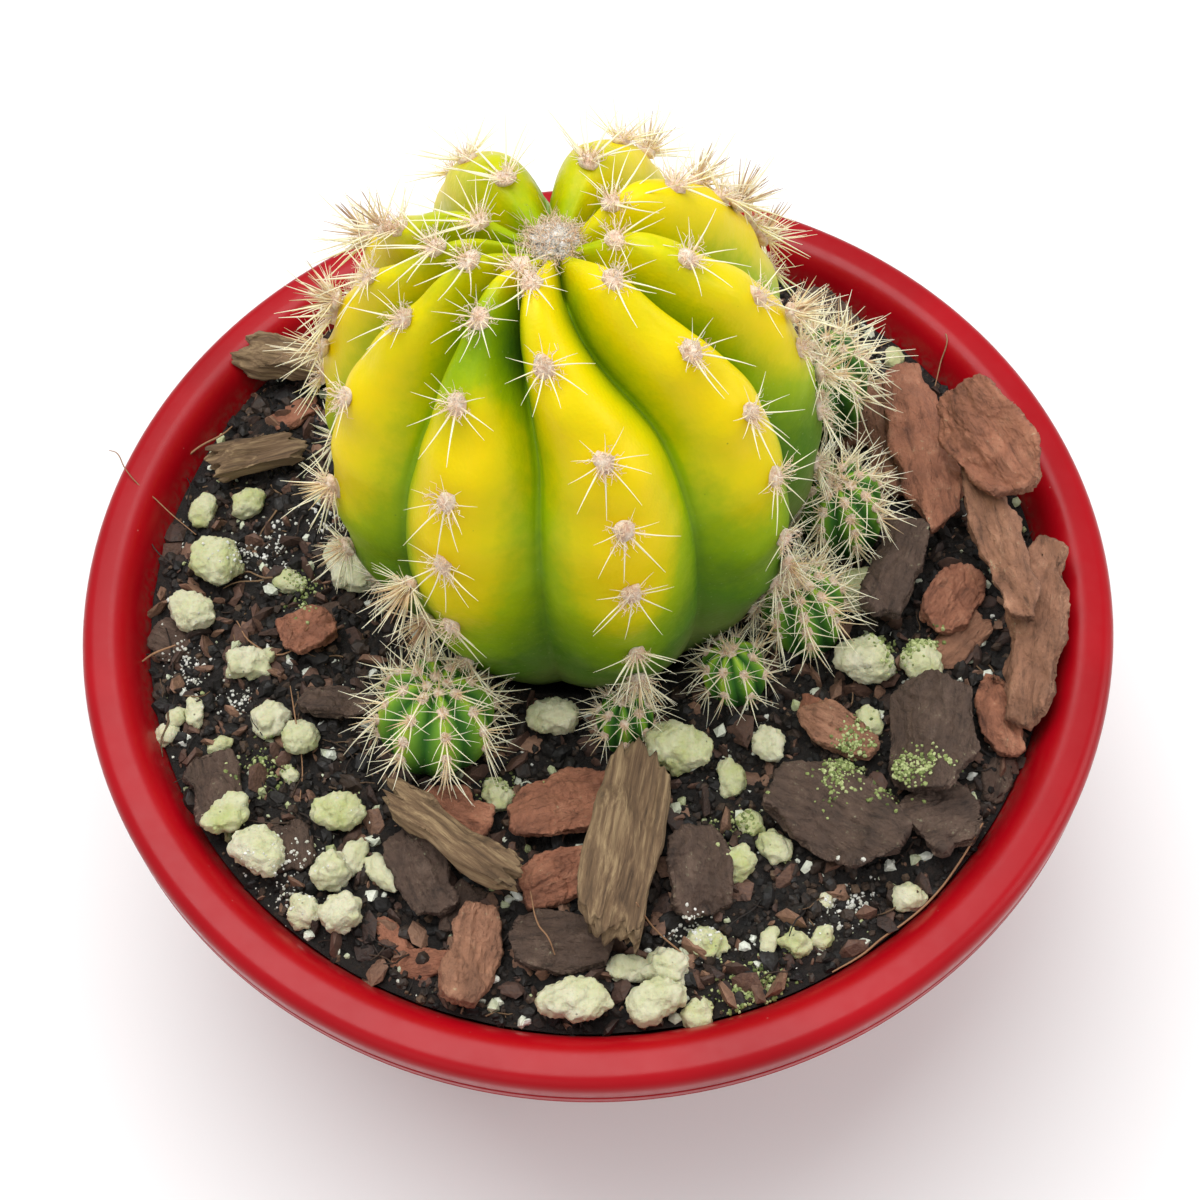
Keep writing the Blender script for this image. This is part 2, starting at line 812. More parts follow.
@dataclass
class Pot:
    """The moulded pot: rolled lip, outer band with a bead, wall, foot ring and drain holes."""

    rim: float = 0.085
    height: float = 0.090
    foot: float = 0.047
    wall: float = 0.0018
    lip_width: float = 0.0069
    lip_round: float = 0.0024
    band_height: float = 0.0072
    bead_height: float = 0.0020
    bead_step: float = 0.0004
    skirt_wall: float = 0.0015
    lip_wall: float = 0.0020
    inner_drop: float = 0.0035
    foot_width: float = 0.0035
    recess: float = 0.0025
    foot_fillet: float = 0.005
    floor_fillet: float = 0.003
    drain_radius: float = 0.004
    drain_ring: float = 0.026
    drains: int = 6
    turns: int = 224

    def outer(self, height: float) -> float:
        """Give the outer radius of the wall at a height."""
        neck = self.rim - self.lip_width + self.wall * 0.8
        return neck - (neck - self.foot) / self.height * (self.height - height)

    def inner(self, height: float) -> float:
        """Give the inner radius of the wall at a height."""
        return self.outer(height) - self.wall * 1.06

    @staticmethod
    def bend(middle: tuple, radius: float, start: float, end: float, count: int) -> list:
        """Give points round an arc about its middle, with its angles in degrees from +X."""
        angles = np.radians(np.linspace(start, end, count + 1))
        return [(middle[0] + radius * math.cos(a), middle[1] + radius * math.sin(a)) for a in angles]

    def outline(self) -> list:
        """Give the closed outline of the wall as radius and height."""
        top, rim = self.height, self.rim
        band = top - self.band_height
        under = top - self.lip_wall
        floor = self.recess + self.wall
        foot = self.outer(self.foot_fillet) - self.foot_fillet * 0.55
        bead = band + self.bead_height
        nub = self.bead_step * 0.9
        line = self.bend((rim - self.lip_round, top - self.lip_round), self.lip_round, 90.0, 0.0, 10)
        line += [(rim, bead + self.bead_step * 2.0), (rim - self.bead_step * 0.4, bead + self.bead_step)]
        line += [(rim - self.bead_step * 1.4, bead + self.bead_step * 0.4)]
        line += self.bend((rim - nub, bead - nub * 0.6), nub, 60.0, -10.0, 4)
        line += [(rim - 0.00006, band + nub * 1.2)]
        line += self.bend((rim - nub, band + nub), nub, 0.0, -90.0, 5)
        line += [(rim - self.skirt_wall, band + 0.0002), (rim - self.skirt_wall, under - 0.0006)]
        line += [(rim - self.skirt_wall - 0.0006, under), (self.outer(under) + 0.0006, under)]
        line += [(self.outer(under - 0.0006), under - 0.0006)]
        line += [(self.outer(h), h) for h in np.linspace(under - 0.006, self.foot_fillet + 0.002, 7)]
        line += [(self.outer(self.foot_fillet), self.foot_fillet)]
        line += [(foot + self.foot_fillet * 0.36, self.foot_fillet * 0.55)]
        line += [(foot + self.foot_fillet * 0.16, self.foot_fillet * 0.2), (foot, 0.0)]
        line += [(foot - self.foot_width, 0.0), (foot - self.foot_width - 0.001, self.recess)]
        line += [(self.drain_radius, self.recess), (self.drain_radius, floor)]
        line += [(self.inner(floor) - self.floor_fillet, floor)]
        line += [(self.inner(floor + 0.0009) - 0.0009, floor + 0.0009)]
        line += [(self.inner(floor + self.floor_fillet), floor + self.floor_fillet)]
        high = top - self.inner_drop
        line += [(self.inner(h), h) for h in np.linspace(floor + 0.012, high - 0.001, 7)]
        start, end = (self.inner(high), high), (rim - self.lip_width + self.lip_round, top)
        corner = (self.inner(top), top)
        for t in np.linspace(0.0, 1.0, 15)[:-1]:
            line += [
                tuple(
                    (1 - t) ** 2 * a + 2 * t * (1 - t) * b + t * t * c for a, b,
                    c in zip(start, corner, end)
                )
            ]
        line += [end]
        return line

    def pins(self) -> bpy.types.Object:
        """Make the pins that open the ring of drain holes."""
        shape = bmesh.new()
        for i in range(self.drains):
            angle = math.tau * i / self.drains
            spot = (self.drain_ring * math.cos(angle), self.drain_ring * math.sin(angle), self.recess)
            bmesh.ops.create_cone(
                shape, cap_ends=True, segments=32, radius1=self.drain_radius, radius2=self.drain_radius,
                depth=self.wall * 4.0, matrix=Matrix.Translation(spot)
            )
        return linked("drain_pins", mesh_from("drain_pins", shape))

    def build(self, finish: bpy.types.Material) -> bpy.types.Object:
        """Turn the outline, open the drain holes and set the pot out.

        Args:
            finish: The pot's material.

        Returns:
            The pot.
        """
        line = self.outline()
        edges = [(i, (i + 1) % len(line)) for i in range(len(line))]
        outline = mesh_of("pot_outline", np.array([(r, 0.0, h) for r, h in line]), edges=edges)
        holder = linked("pot_outline", outline)
        screw = holder.modifiers.new("turn", "SCREW")
        screw.steps = screw.render_steps = self.turns
        screw.use_merge_vertices = True
        screw.merge_threshold = 0.00002
        pins = self.pins()
        cut = holder.modifiers.new("drain_holes", "BOOLEAN")
        cut.operation = "DIFFERENCE"
        cut.solver = "EXACT"
        cut.object = pins
        mesh = settled_mesh(holder, "pot_shell")
        for used in (holder, pins):
            bpy.data.objects.remove(used, do_unlink=True)
        shape = bmesh.new()
        shape.from_mesh(mesh)
        bmesh.ops.remove_doubles(shape, verts=shape.verts, dist=0.000004)
        bmesh.ops.recalc_face_normals(shape, faces=shape.faces)
        shape.to_mesh(mesh)
        shape.free()
        mesh.shade_smooth()
        mesh.set_sharp_from_angle(angle=math.radians(38.0))
        return set_out("pot_moulding", mesh, finish, "red_plastic", ["pot"])


@dataclass
class RibbedGlobe:
    """A ribbed cactus body about its own middle, before it is leaned and placed."""

    radius: float
    top: float
    foot: float
    ribs: tuple
    groove: float
    crown_gain: float = 0.0
    foot_loss: float = 0.0
    areole_rise: float = 0.0
    areoles: tuple = ()
    crown_turns: tuple = ()
    dimple_depth: float = 0.0
    dimple_radius: float = 0.01
    turn: Matrix = field(default_factory=lambda: Matrix.Identity(3))
    middle: np.ndarray = field(default_factory=lambda: np.zeros(3))

    def crest_bearing(self, rib: np.ndarray, latitude: np.ndarray) -> np.ndarray:
        """Give the bearing of ribs' crests in degrees, drawn round towards the crown."""
        count = len(self.ribs)
        turns = np.array(self.crown_turns or (0.0,) * count)
        drawn = turns[rib % count] * smooth_step(30.0, 75.0, latitude)
        return np.array(self.ribs)[rib % count] + drawn + 360.0 * (rib // count)

    def rib_place(self, turn: np.ndarray, latitude: np.ndarray) -> tuple[np.ndarray, np.ndarray]:
        """Find the bearing of points, and how far they lie from their rib's crest.

        Args:
            turn: From 0 to 1 round the body, every rib as wide as the next.
            latitude: Degrees up from the widest ring.

        Returns:
            The bearing in radians, and the share of the way to the groove.
        """
        rib = np.floor(turn * len(self.ribs) + 0.5).astype(int)
        aside = turn * len(self.ribs) - rib
        crest = self.crest_bearing(rib, latitude)
        next_crest = self.crest_bearing(rib + np.where(aside > 0.0, 1, -1), latitude)
        bearing = crest + np.abs(aside) * (next_crest - crest)
        return np.radians(bearing), 2.0 * np.abs(aside)

    def swell(self, latitude: np.ndarray) -> np.ndarray:
        """Give how far the crest swells, 0 at each areole and 1 halfway between two."""
        amount = np.zeros_like(latitude)
        for upper, lower in zip(self.areoles, self.areoles[1:]):
            between = (latitude >= lower) & (latitude <= upper)
            share = (upper - latitude) / (upper - lower)
            amount = np.where(between, np.sin(np.pi * share) ** 2, amount)
        return amount

    def bare(self, turn: np.ndarray, latitude: np.ndarray) -> dict[str, np.ndarray]:
        """Give points on the body before its grooves are pressed in.

        Args:
            turn: From 0 to 1 round the body.
            latitude: Degrees up from the widest ring.

        Returns:
            Their places, the way outwards, and the numbers that shape the grooves.
        """
        bearing, aside = self.rib_place(turn, latitude)
        lat = np.radians(latitude)
        half = np.where(latitude > 0.0, self.top, self.foot)
        ring = self.radius * np.cos(lat)
        height = half * np.sin(lat)
        across, along = np.cos(lat) / self.radius, np.sin(lat) / half
        size = np.hypot(across, along)
        across, along = across / size, along / size
        dimple = self.dimple_depth * smooth_step(0.0, 1.0, 1.0 - ring / self.dimple_radius)
        height = height - np.where(latitude > 0.0, dimple, 0.0)
        around = np.stack([np.sin(bearing), -np.cos(bearing)], axis=-1)
        return {
            "place": np.concatenate([ring[:, None] * around, height[:, None]], axis=1),
            "outward": np.concatenate([across[:, None] * around, along[:, None]], axis=1), "aside": aside,
            "upper": smooth_step(5.0, 60.0, latitude), "lower": smooth_step(0.0, 55.0, -latitude),
            "fade": smooth_step(0.0, 0.26 * self.radius, ring), "swell": self.swell(latitude),
            "bearing": np.degrees(bearing) % 360.0
        }

    def placed(self, points: np.ndarray) -> np.ndarray:
        """Lean points with the body and move them to its place."""
        return points @ np.array(self.turn).T + self.middle

    def leaned(self, ways: np.ndarray) -> np.ndarray:
        """Lean directions with the body."""
        return ways @ np.array(self.turn).T

    def crest(
        self, rib: int, latitude: float, aside: float = 0.0
    ) -> tuple[np.ndarray, np.ndarray, np.ndarray]:
        """Find a spot on a rib, in its final place.

        Args:
            rib: Which rib.
            latitude: Degrees up from the widest ring.
            aside: Ribs' widths to one side of the crest.

        Returns:
            The spot, the way outwards and the way down the rib.
        """
        turn = np.array([(rib + aside) / len(self.ribs)] * 2)
        rows = self.bare(turn, np.array([latitude, latitude - 2.0]))
        depth = self.groove + self.crown_gain * rows["upper"] - self.foot_loss * rows["lower"]
        depth = depth * rows["fade"] * rows["aside"] ** (GROOVE_POWER + rows["upper"])
        depth = depth + self.areole_rise * (1.0 - rows["swell"]) * (1.0 - rows["aside"])
        spots = self.placed(rows["place"] - rows["outward"] * depth[:, None])
        ways = self.leaned(rows["outward"])
        return spots[0], ways[0], unit((spots[1] - spots[0])[None])[0]

    def bare_mesh(
        self, name: str, columns: int, rows: int
    ) -> tuple[bpy.types.Mesh, np.ndarray, np.ndarray]:
        """Make the body's mesh before its grooves are pressed in, with what shapes them stored on it.

        Args:
            name: The mesh's name.
            columns: Points round each ring.
            rows: Rings from pole to pole.

        Returns:
            The mesh, and the turn and latitude of each point.
        """
        lats = np.linspace(-90.0, 90.0, rows + 1)[1:-1]
        turn = np.tile(np.arange(columns) / columns, rows - 1)
        latitude = np.repeat(lats, columns)
        turn = np.concatenate([turn, [0.0, 0.0]])
        latitude = np.concatenate([latitude, [-90.0, 90.0]])
        data = self.bare(turn, latitude)
        foot, crown = (rows - 1) * columns, (rows - 1) * columns + 1
        faces = []
        for i in range(rows - 2):
            for j in range(columns):
                k = (j + 1) % columns
                faces.append(
                    (i * columns + j, i * columns + k, (i + 1) * columns + k, (i + 1) * columns + j)
                )
        last = (rows - 2) * columns
        for j in range(columns):
            k = (j + 1) % columns
            faces.append((foot, k, j))
            faces.append((crown, last + j, last + k))
        mesh = mesh_of(name, self.placed(data["place"]), faces)
        store(mesh, "outward", self.leaned(data["outward"]))
        for key in ("aside", "upper", "lower", "fade", "swell"):
            store(mesh, key, data[key])
        return mesh, turn, latitude


class GrooveTree:
    """Geometry Nodes that press the grooves of a ribbed body between its crests."""

    def __init__(self) -> None:
        """Build the tree."""
        bench = GrowthBench("press_grooves")
        groove = bench.size("Groove Depth")
        gain = bench.size("Crown Gain")
        loss = bench.size("Foot Loss")
        power = bench.size("Groove Sharpness")
        rise = bench.size("Areole Rise")
        lump = bench.size("Lump Height")
        pitch = bench.size("Lump Pitch")
        depth = bench.plus(groove, bench.times(gain, bench.stored("upper")))
        depth = bench.maths("SUBTRACT", depth, bench.times(loss, bench.stored("lower")))
        depth = bench.times(depth, bench.stored("fade"))
        power = bench.plus(power, bench.stored("upper"))
        depth = bench.times(depth, bench.maths("POWER", bench.stored("aside"), power))
        notch = bench.times(rise, bench.maths("SUBTRACT", 1.0, bench.stored("swell")))
        notch = bench.times(notch, bench.maths("SUBTRACT", 1.0, bench.stored("aside")))
        spot = bench.add("GeometryNodeInputPosition").outputs[0]
        cloud = bench.add("ShaderNodeTexNoise", {"Vector": spot, "Scale": pitch, "Detail": 1.0}).outputs[0]
        lumps = bench.times(lump, bench.maths("SUBTRACT", cloud, 0.5))
        depth = bench.plus(bench.plus(depth, notch), lumps)
        inward = bench.times(depth, -1.0)
        way = bench.stored("outward", "FLOAT_VECTOR")
        offset = bench.add("ShaderNodeVectorMath", {0: way, "Scale": inward}, operation="SCALE").outputs[0]
        pressed = bench.add(
            "GeometryNodeSetPosition", {"Geometry": bench.base, "Offset": offset}
        ).outputs[0]
        bench.close(pressed)
        self.bench = bench

    def press(
        self, globe: RibbedGlobe, mesh: bpy.types.Mesh, name: str, finish: bpy.types.Material, lump: float
    ) -> bpy.types.Mesh:
        """Press a body's grooves.

        Args:
            globe: The body's sizes.
            mesh: Its bare mesh.
            name: The new mesh's name.
            finish: Its material.
            lump: How uneven its skin is, in metres.

        Returns:
            The ribbed mesh.
        """
        return self.bench.grow(
            mesh, name, groove_depth=globe.groove, crown_gain=globe.crown_gain, foot_loss=globe.foot_loss,
            groove_sharpness=GROOVE_POWER, areole_rise=globe.areole_rise, lump_height=lump,
            lump_pitch=110.0, finish=finish
        )

    def skin(
        self,
        globe: RibbedGlobe,
        node: str,
        grid: tuple[int, int],
        finish: bpy.types.Material,
        lump: float,
    ) -> tuple[bpy.types.Mesh, np.ndarray, np.ndarray]:
        """Press a body twice: once to seat the middle of its box on its solid's, once to keep.

        Args:
            globe: The body's sizes, whose middle is set.
            node: The solid's name.
            grid: Points round each ring, and rings from pole to pole.
            finish: Its material.
            lump: How uneven its skin is, in metres.

        Returns:
            The skin, and the turn and latitude of each point.
        """
        trial = self.press(globe, globe.bare_mesh(node + "_bare", *grid)[0], node + "_trial", finish, 0.0)
        globe.middle = seated(points_of(trial), node)
        mesh, turn, latitude = globe.bare_mesh(node + "_bare", *grid)
        return self.press(globe, mesh, node + "_skin", finish, lump), turn, latitude


class BristleTree:
    """Geometry Nodes that stand a tapered, bent bristle on every point of a mesh."""

    def __init__(self, name: str, sides: int, rings: int) -> None:
        """Build the tree.

        Args:
            name: The tree's name.
            sides: Sides round each bristle.
            rings: Points along each bristle.
        """
        bench = GrowthBench(name)
        girth = bench.size("Root Girth")
        tip = bench.size("Tip Girth")
        sag = bench.size("Sag")
        curl = bench.size("Curl")
        line = bench.add("GeometryNodeCurvePrimitiveLine").outputs[0]
        line = bench.add("GeometryNodeResampleCurve", {"Curve": line, "Count": rings}).outputs[0]
        along = bench.add("GeometryNodeSplineParameter").outputs["Factor"]
        bow = bench.times(sag, bench.times(along, along))
        wave = bench.times(curl, bench.maths("SINE", bench.times(along, 7.0)))
        offset = bench.add("ShaderNodeCombineXYZ", {"X": bow, "Y": wave}).outputs[0]
        line = bench.add("GeometryNodeSetPosition", {"Geometry": line, "Offset": offset}).outputs[0]
        line = bench.keep(line, "along", along)
        thickness = bench.span(along, 0.0, 1.0, girth, tip)
        ring = bench.add(
            "GeometryNodeCurvePrimitiveCircle", {"Resolution": sides, "Radius": 1.0}
        ).outputs[0]
        inputs = {"Curve": line, "Profile Curve": ring, "Scale": thickness, "Fill Caps": True}
        bristle = bench.add("GeometryNodeCurveToMesh", inputs).outputs[0]
        aim = bench.stored("aim", "FLOAT_VECTOR")
        facing = bench.add("FunctionNodeAlignRotationToVector", {"Vector": aim}, axis="Z").outputs[0]
        spin = bench.add("ShaderNodeCombineXYZ", {"Z": bench.stored("roll")}).outputs[0]
        spin = bench.add("FunctionNodeEulerToRotation", {0: spin}).outputs[0]
        inputs = {"Rotation": facing, "Rotate By": spin}
        facing = bench.add("FunctionNodeRotateRotation", inputs, rotation_space="LOCAL").outputs[0]
        reach = bench.stored("reach")
        scale = bench.add("ShaderNodeCombineXYZ", {"X": reach, "Y": reach, "Z": reach}).outputs[0]
        inputs = {"Points": bench.base, "Instance": bristle, "Rotation": facing, "Scale": scale}
        stood = bench.add("GeometryNodeInstanceOnPoints", inputs).outputs[0]
        bench.close(stood)
        self.bench = bench


class CrumbTree:
    """Geometry Nodes that scatter uneven crumbs over a ground, or stand one on every point."""

    def __init__(self, name: str, scattered: bool, level: int = 1) -> None:
        """Build the tree.

        Args:
            name: The tree's name.
            scattered: Whether the crumbs are spread over faces, or stand on given points.
            level: How finely each crumb is divided.
        """
        bench = GrowthBench(name)
        seed = bench.size("Seed", "Int")
        small = bench.size("Least Radius")
        large = bench.size("Most Radius")
        flat = bench.size("Flatness")
        rough = bench.size("Raggedness")
        points = bench.base
        if scattered:
            density = bench.size("Crumbs To The Square Metre")
            inputs = {"Mesh": points, "Density": density, "Seed": seed}
            points = bench.add("GeometryNodeDistributePointsOnFaces", inputs).outputs[0]
        join = bench.add("GeometryNodeJoinGeometry")
        spot = bench.add("GeometryNodeInputPosition").outputs[0]
        for kind in range(4):
            ball = bench.add("GeometryNodeMeshIcoSphere", {"Radius": 1.0, "Subdivisions": level}).outputs[0]
            shifted = bench.add(
                "ShaderNodeVectorMath", {0: spot, 1: (7.3 * kind, 3.1 * kind, 1.7 * kind)}
            ).outputs[0]
            cloud = bench.add(
                "ShaderNodeTexNoise", {"Vector": shifted, "Scale": 1.1, "Detail": 2.0}
            ).outputs["Color"]
            centred = bench.add("ShaderNodeVectorMath", {0: cloud, 1: (-0.5, -0.5, -0.5)}).outputs[0]
            ragged = bench.add(
                "ShaderNodeVectorMath", {0: centred, "Scale": rough}, operation="SCALE"
            ).outputs[0]
            crumb = bench.add("GeometryNodeSetPosition", {"Geometry": ball, "Offset": ragged}).outputs[0]
            single = bench.add("GeometryNodeGeometryToInstance", {0: crumb}).outputs[0]
            bench.tree.links.new(single, join.inputs[0])
        inputs = {0: (0.0,) * 3, 1: (math.tau,) * 3, "Seed": seed}
        turn = bench.add("FunctionNodeRandomValue", inputs, data_type="FLOAT_VECTOR")
        turned = bench.add("FunctionNodeEulerToRotation", {0: turn.outputs[0]}).outputs[0]
        share = bench.maths("POWER", bench.chance(0.0, 1.0, bench.plus(seed, 3.0)), 2.2)
        radius = bench.span(share, 0.0, 1.0, small, large)
        if not scattered:
            radius = bench.times(bench.stored("reach"), bench.chance(0.7, 1.2, seed))
        thin = bench.times(radius, flat)
        wide = bench.times(radius, bench.chance(0.6, 1.1, bench.plus(seed, 5.0)))
        scale = bench.add("ShaderNodeCombineXYZ", {"X": radius, "Y": wide, "Z": thin}).outputs[0]
        pick = bench.add("FunctionNodeRandomValue", {4: 0, 5: 3, "Seed": seed}, data_type="INT")
        inputs = {
            "Points": points,
            "Instance": join.outputs[0],
            "Pick Instance": True,
            "Instance Index": pick.outputs[2],
            "Rotation": turned,
            "Scale": scale,
        }
        stood = bench.add("GeometryNodeInstanceOnPoints", inputs).outputs[0]
        stood = bench.keep(stood, "tone", bench.chance(0.0, 1.0, bench.plus(seed, 9.0)), "INSTANCE")
        bench.close(stood, smooth=False)
        self.bench = bench


@dataclass
class SpineBed:
    """Gathers the spots where bristles stand."""

    spots: list = field(default_factory=list)
    aims: list = field(default_factory=list)
    reaches: list = field(default_factory=list)
    rolls: list = field(default_factory=list)
    tones: list = field(default_factory=list)
    ceiling: float = 0.1656

    def plant(self, spot: np.ndarray, aim: np.ndarray, reach: float, roll: float, tone: float) -> None:
        """Stand one bristle.

        Args:
            spot: Its root.
            aim: The way it points.
            reach: Its length.
            roll: Its turn about its own axis.
            tone: Its colour, from pale to brown.
        """
        rise = max(1e-6, float(aim[2]) / float(np.linalg.norm(aim)))
        reach = min(reach, max(0.0012, (self.ceiling - float(spot[2])) / rise))
        self.spots.append(spot)
        self.aims.append(aim)
        self.reaches.append(reach)
        self.rolls.append(roll)
        self.tones.append(tone)

    def mesh(self, name: str) -> bpy.types.Mesh:
        """Make a mesh of the spots, with everything stored on it."""
        mesh = mesh_of(name, np.array(self.spots))
        store(mesh, "aim", unit(np.array(self.aims)))
        store(mesh, "reach", np.array(self.reaches))
        store(mesh, "roll", np.array(self.rolls))
        store(mesh, "tone", np.array(self.tones))
        return mesh


@dataclass
class Areole:
    """One felted cushion and how its spines stand."""

    spot: np.ndarray
    outward: np.ndarray
    down: np.ndarray
    pad: float
    radials: int
    reach: float
    centrals: int
    central_reach: float
    tone: float
    rise: float = 24.0
    spread: float = 9.0

    def dress(
        self, rng: np.random.Generator, spines: SpineBed, stout: SpineBed, wool: SpineBed, hairs: int
    ) -> None:
        """Plant the areole's spines and wool.

        Args:
            rng: The seeded source of every draw.
            spines: Where the slim radial spines stand.
            stout: Where the short central spines stand.
            wool: Where the wool hairs stand.
            hairs: How many hairs it has.
        """
        side = unit(np.cross(self.outward, self.down)[None])[0]
        down = np.cross(side, self.outward)
        start = rng.uniform(0.0, math.tau)
        for i in range(self.radials):
            angle = start + math.tau * (i + rng.uniform(-0.28, 0.28)) / self.radials
            rise = math.radians(self.rise + rng.normal(0.0, self.spread))
            flat = math.cos(angle) * down + math.sin(angle) * side
            aim = math.cos(rise) * flat + math.sin(rise) * self.outward
            reach = self.reach * (0.78 + 0.26 * math.cos(angle)) * rng.uniform(0.8, 1.12)
            root = self.spot + flat * self.pad * 0.2 + self.outward * self.pad * 0.1
            spines.plant(root, aim, reach, rng.uniform(0.0, math.tau), self.tone * rng.uniform(0.0, 0.4))
        for _ in range(self.centrals):
            angle = rng.uniform(0.0, math.tau)
            rise = math.radians(rng.uniform(48.0, 82.0))
            flat = math.cos(angle) * down + math.sin(angle) * side
            aim = math.cos(rise) * flat + math.sin(rise) * self.outward
            reach = self.central_reach * rng.uniform(0.7, 1.2)
            stout.plant(
                self.spot, aim, reach, rng.uniform(0.0, math.tau),
                min(1.0, self.tone * 0.6 + rng.uniform(0.15, 0.5))
            )
        for _ in range(hairs):
            angle = rng.uniform(0.0, math.tau)
            away = self.pad * 0.5 * math.sqrt(rng.uniform(0.0, 1.0))
            flat = math.cos(angle) * down + math.sin(angle) * side
            root = self.spot + flat * away + self.outward * (self.pad * 0.22 - away * 0.24)
            aim = self.outward + flat * (0.25 + 1.1 * away / self.pad) + rng.normal(0.0, 0.45, 3)
            wool.plant(
                root, aim, self.pad * rng.uniform(0.28, 0.55), rng.uniform(0.0, math.tau),
                rng.uniform(0.0, 1.0)
            )

    def cushion(self, rng: np.random.Generator) -> bpy.types.Mesh:
        """Make the felted cushion under the spines."""
        shape = bmesh.new()
        bmesh.ops.create_icosphere(shape, subdivisions=2, radius=0.5)
        side = unit(np.cross(self.outward, self.down)[None])[0]
        axes = np.stack([side, np.cross(side, self.outward), self.outward])
        seed = Vector(rng.uniform(0.0, 50.0, 3))
        for vertex in shape.verts:
            bump = 1.0 + 0.45 * noise.noise(vertex.co * 5.0 + seed)
            size = np.array(vertex.co) * bump * self.pad * np.array([0.74, 0.86, 0.44])
            vertex.co = Vector(self.spot + size @ axes)
        return mesh_from("cushion", shape)


class PlantTone(Enum):
    """Rows of colour from the ripe crest to the green groove."""

    STEM = (
        (0.0, (232, 204, 0)),
        (0.22, (212, 200, 0)),
        (0.42, (152, 176, 2)),
        (0.60, (122, 156, 6)),
        (0.80, (80, 122, 26)),
        (1.0, (96, 116, 54)),
    )
    OFFSET = (
        (0.0, (168, 196, 60)),
        (0.35, (112, 160, 48)),
        (0.7, (58, 112, 38)),
        (1.0, (34, 74, 30)),
    )


# Latitudes of the areoles down each rib, in degrees from the widest ring.
STEM_AREOLES = (
    (73.0, 56.0, 38.0, 24.0, 10.0, -8.0, -22.0),
    (69.0, 50.0, 33.0, 17.0, 1.0, -14.0, -26.0),
    (76.0, 60.0, 42.0, 25.0, 8.0, -8.0, -22.0),
    (76.0, 60.0, 45.0, 30.0, 14.0, -3.0, -19.0),
    (71.0, 52.0, 34.0, 17.0, 0.0, -17.0),
    (73.0, 54.0, 36.0, 18.0, 0.0, -18.0),
    (75.0, 54.0, 34.0, 15.0, -5.0, -22.0),
    (65.0, 48.0, 30.0, 12.0, -6.0, -22.0),
    (70.0, 52.0, 31.0, 8.0, -10.0, -24.0),
    (78.0, 62.0, 46.0, 28.0, 14.0, -3.0, -18.0),
)


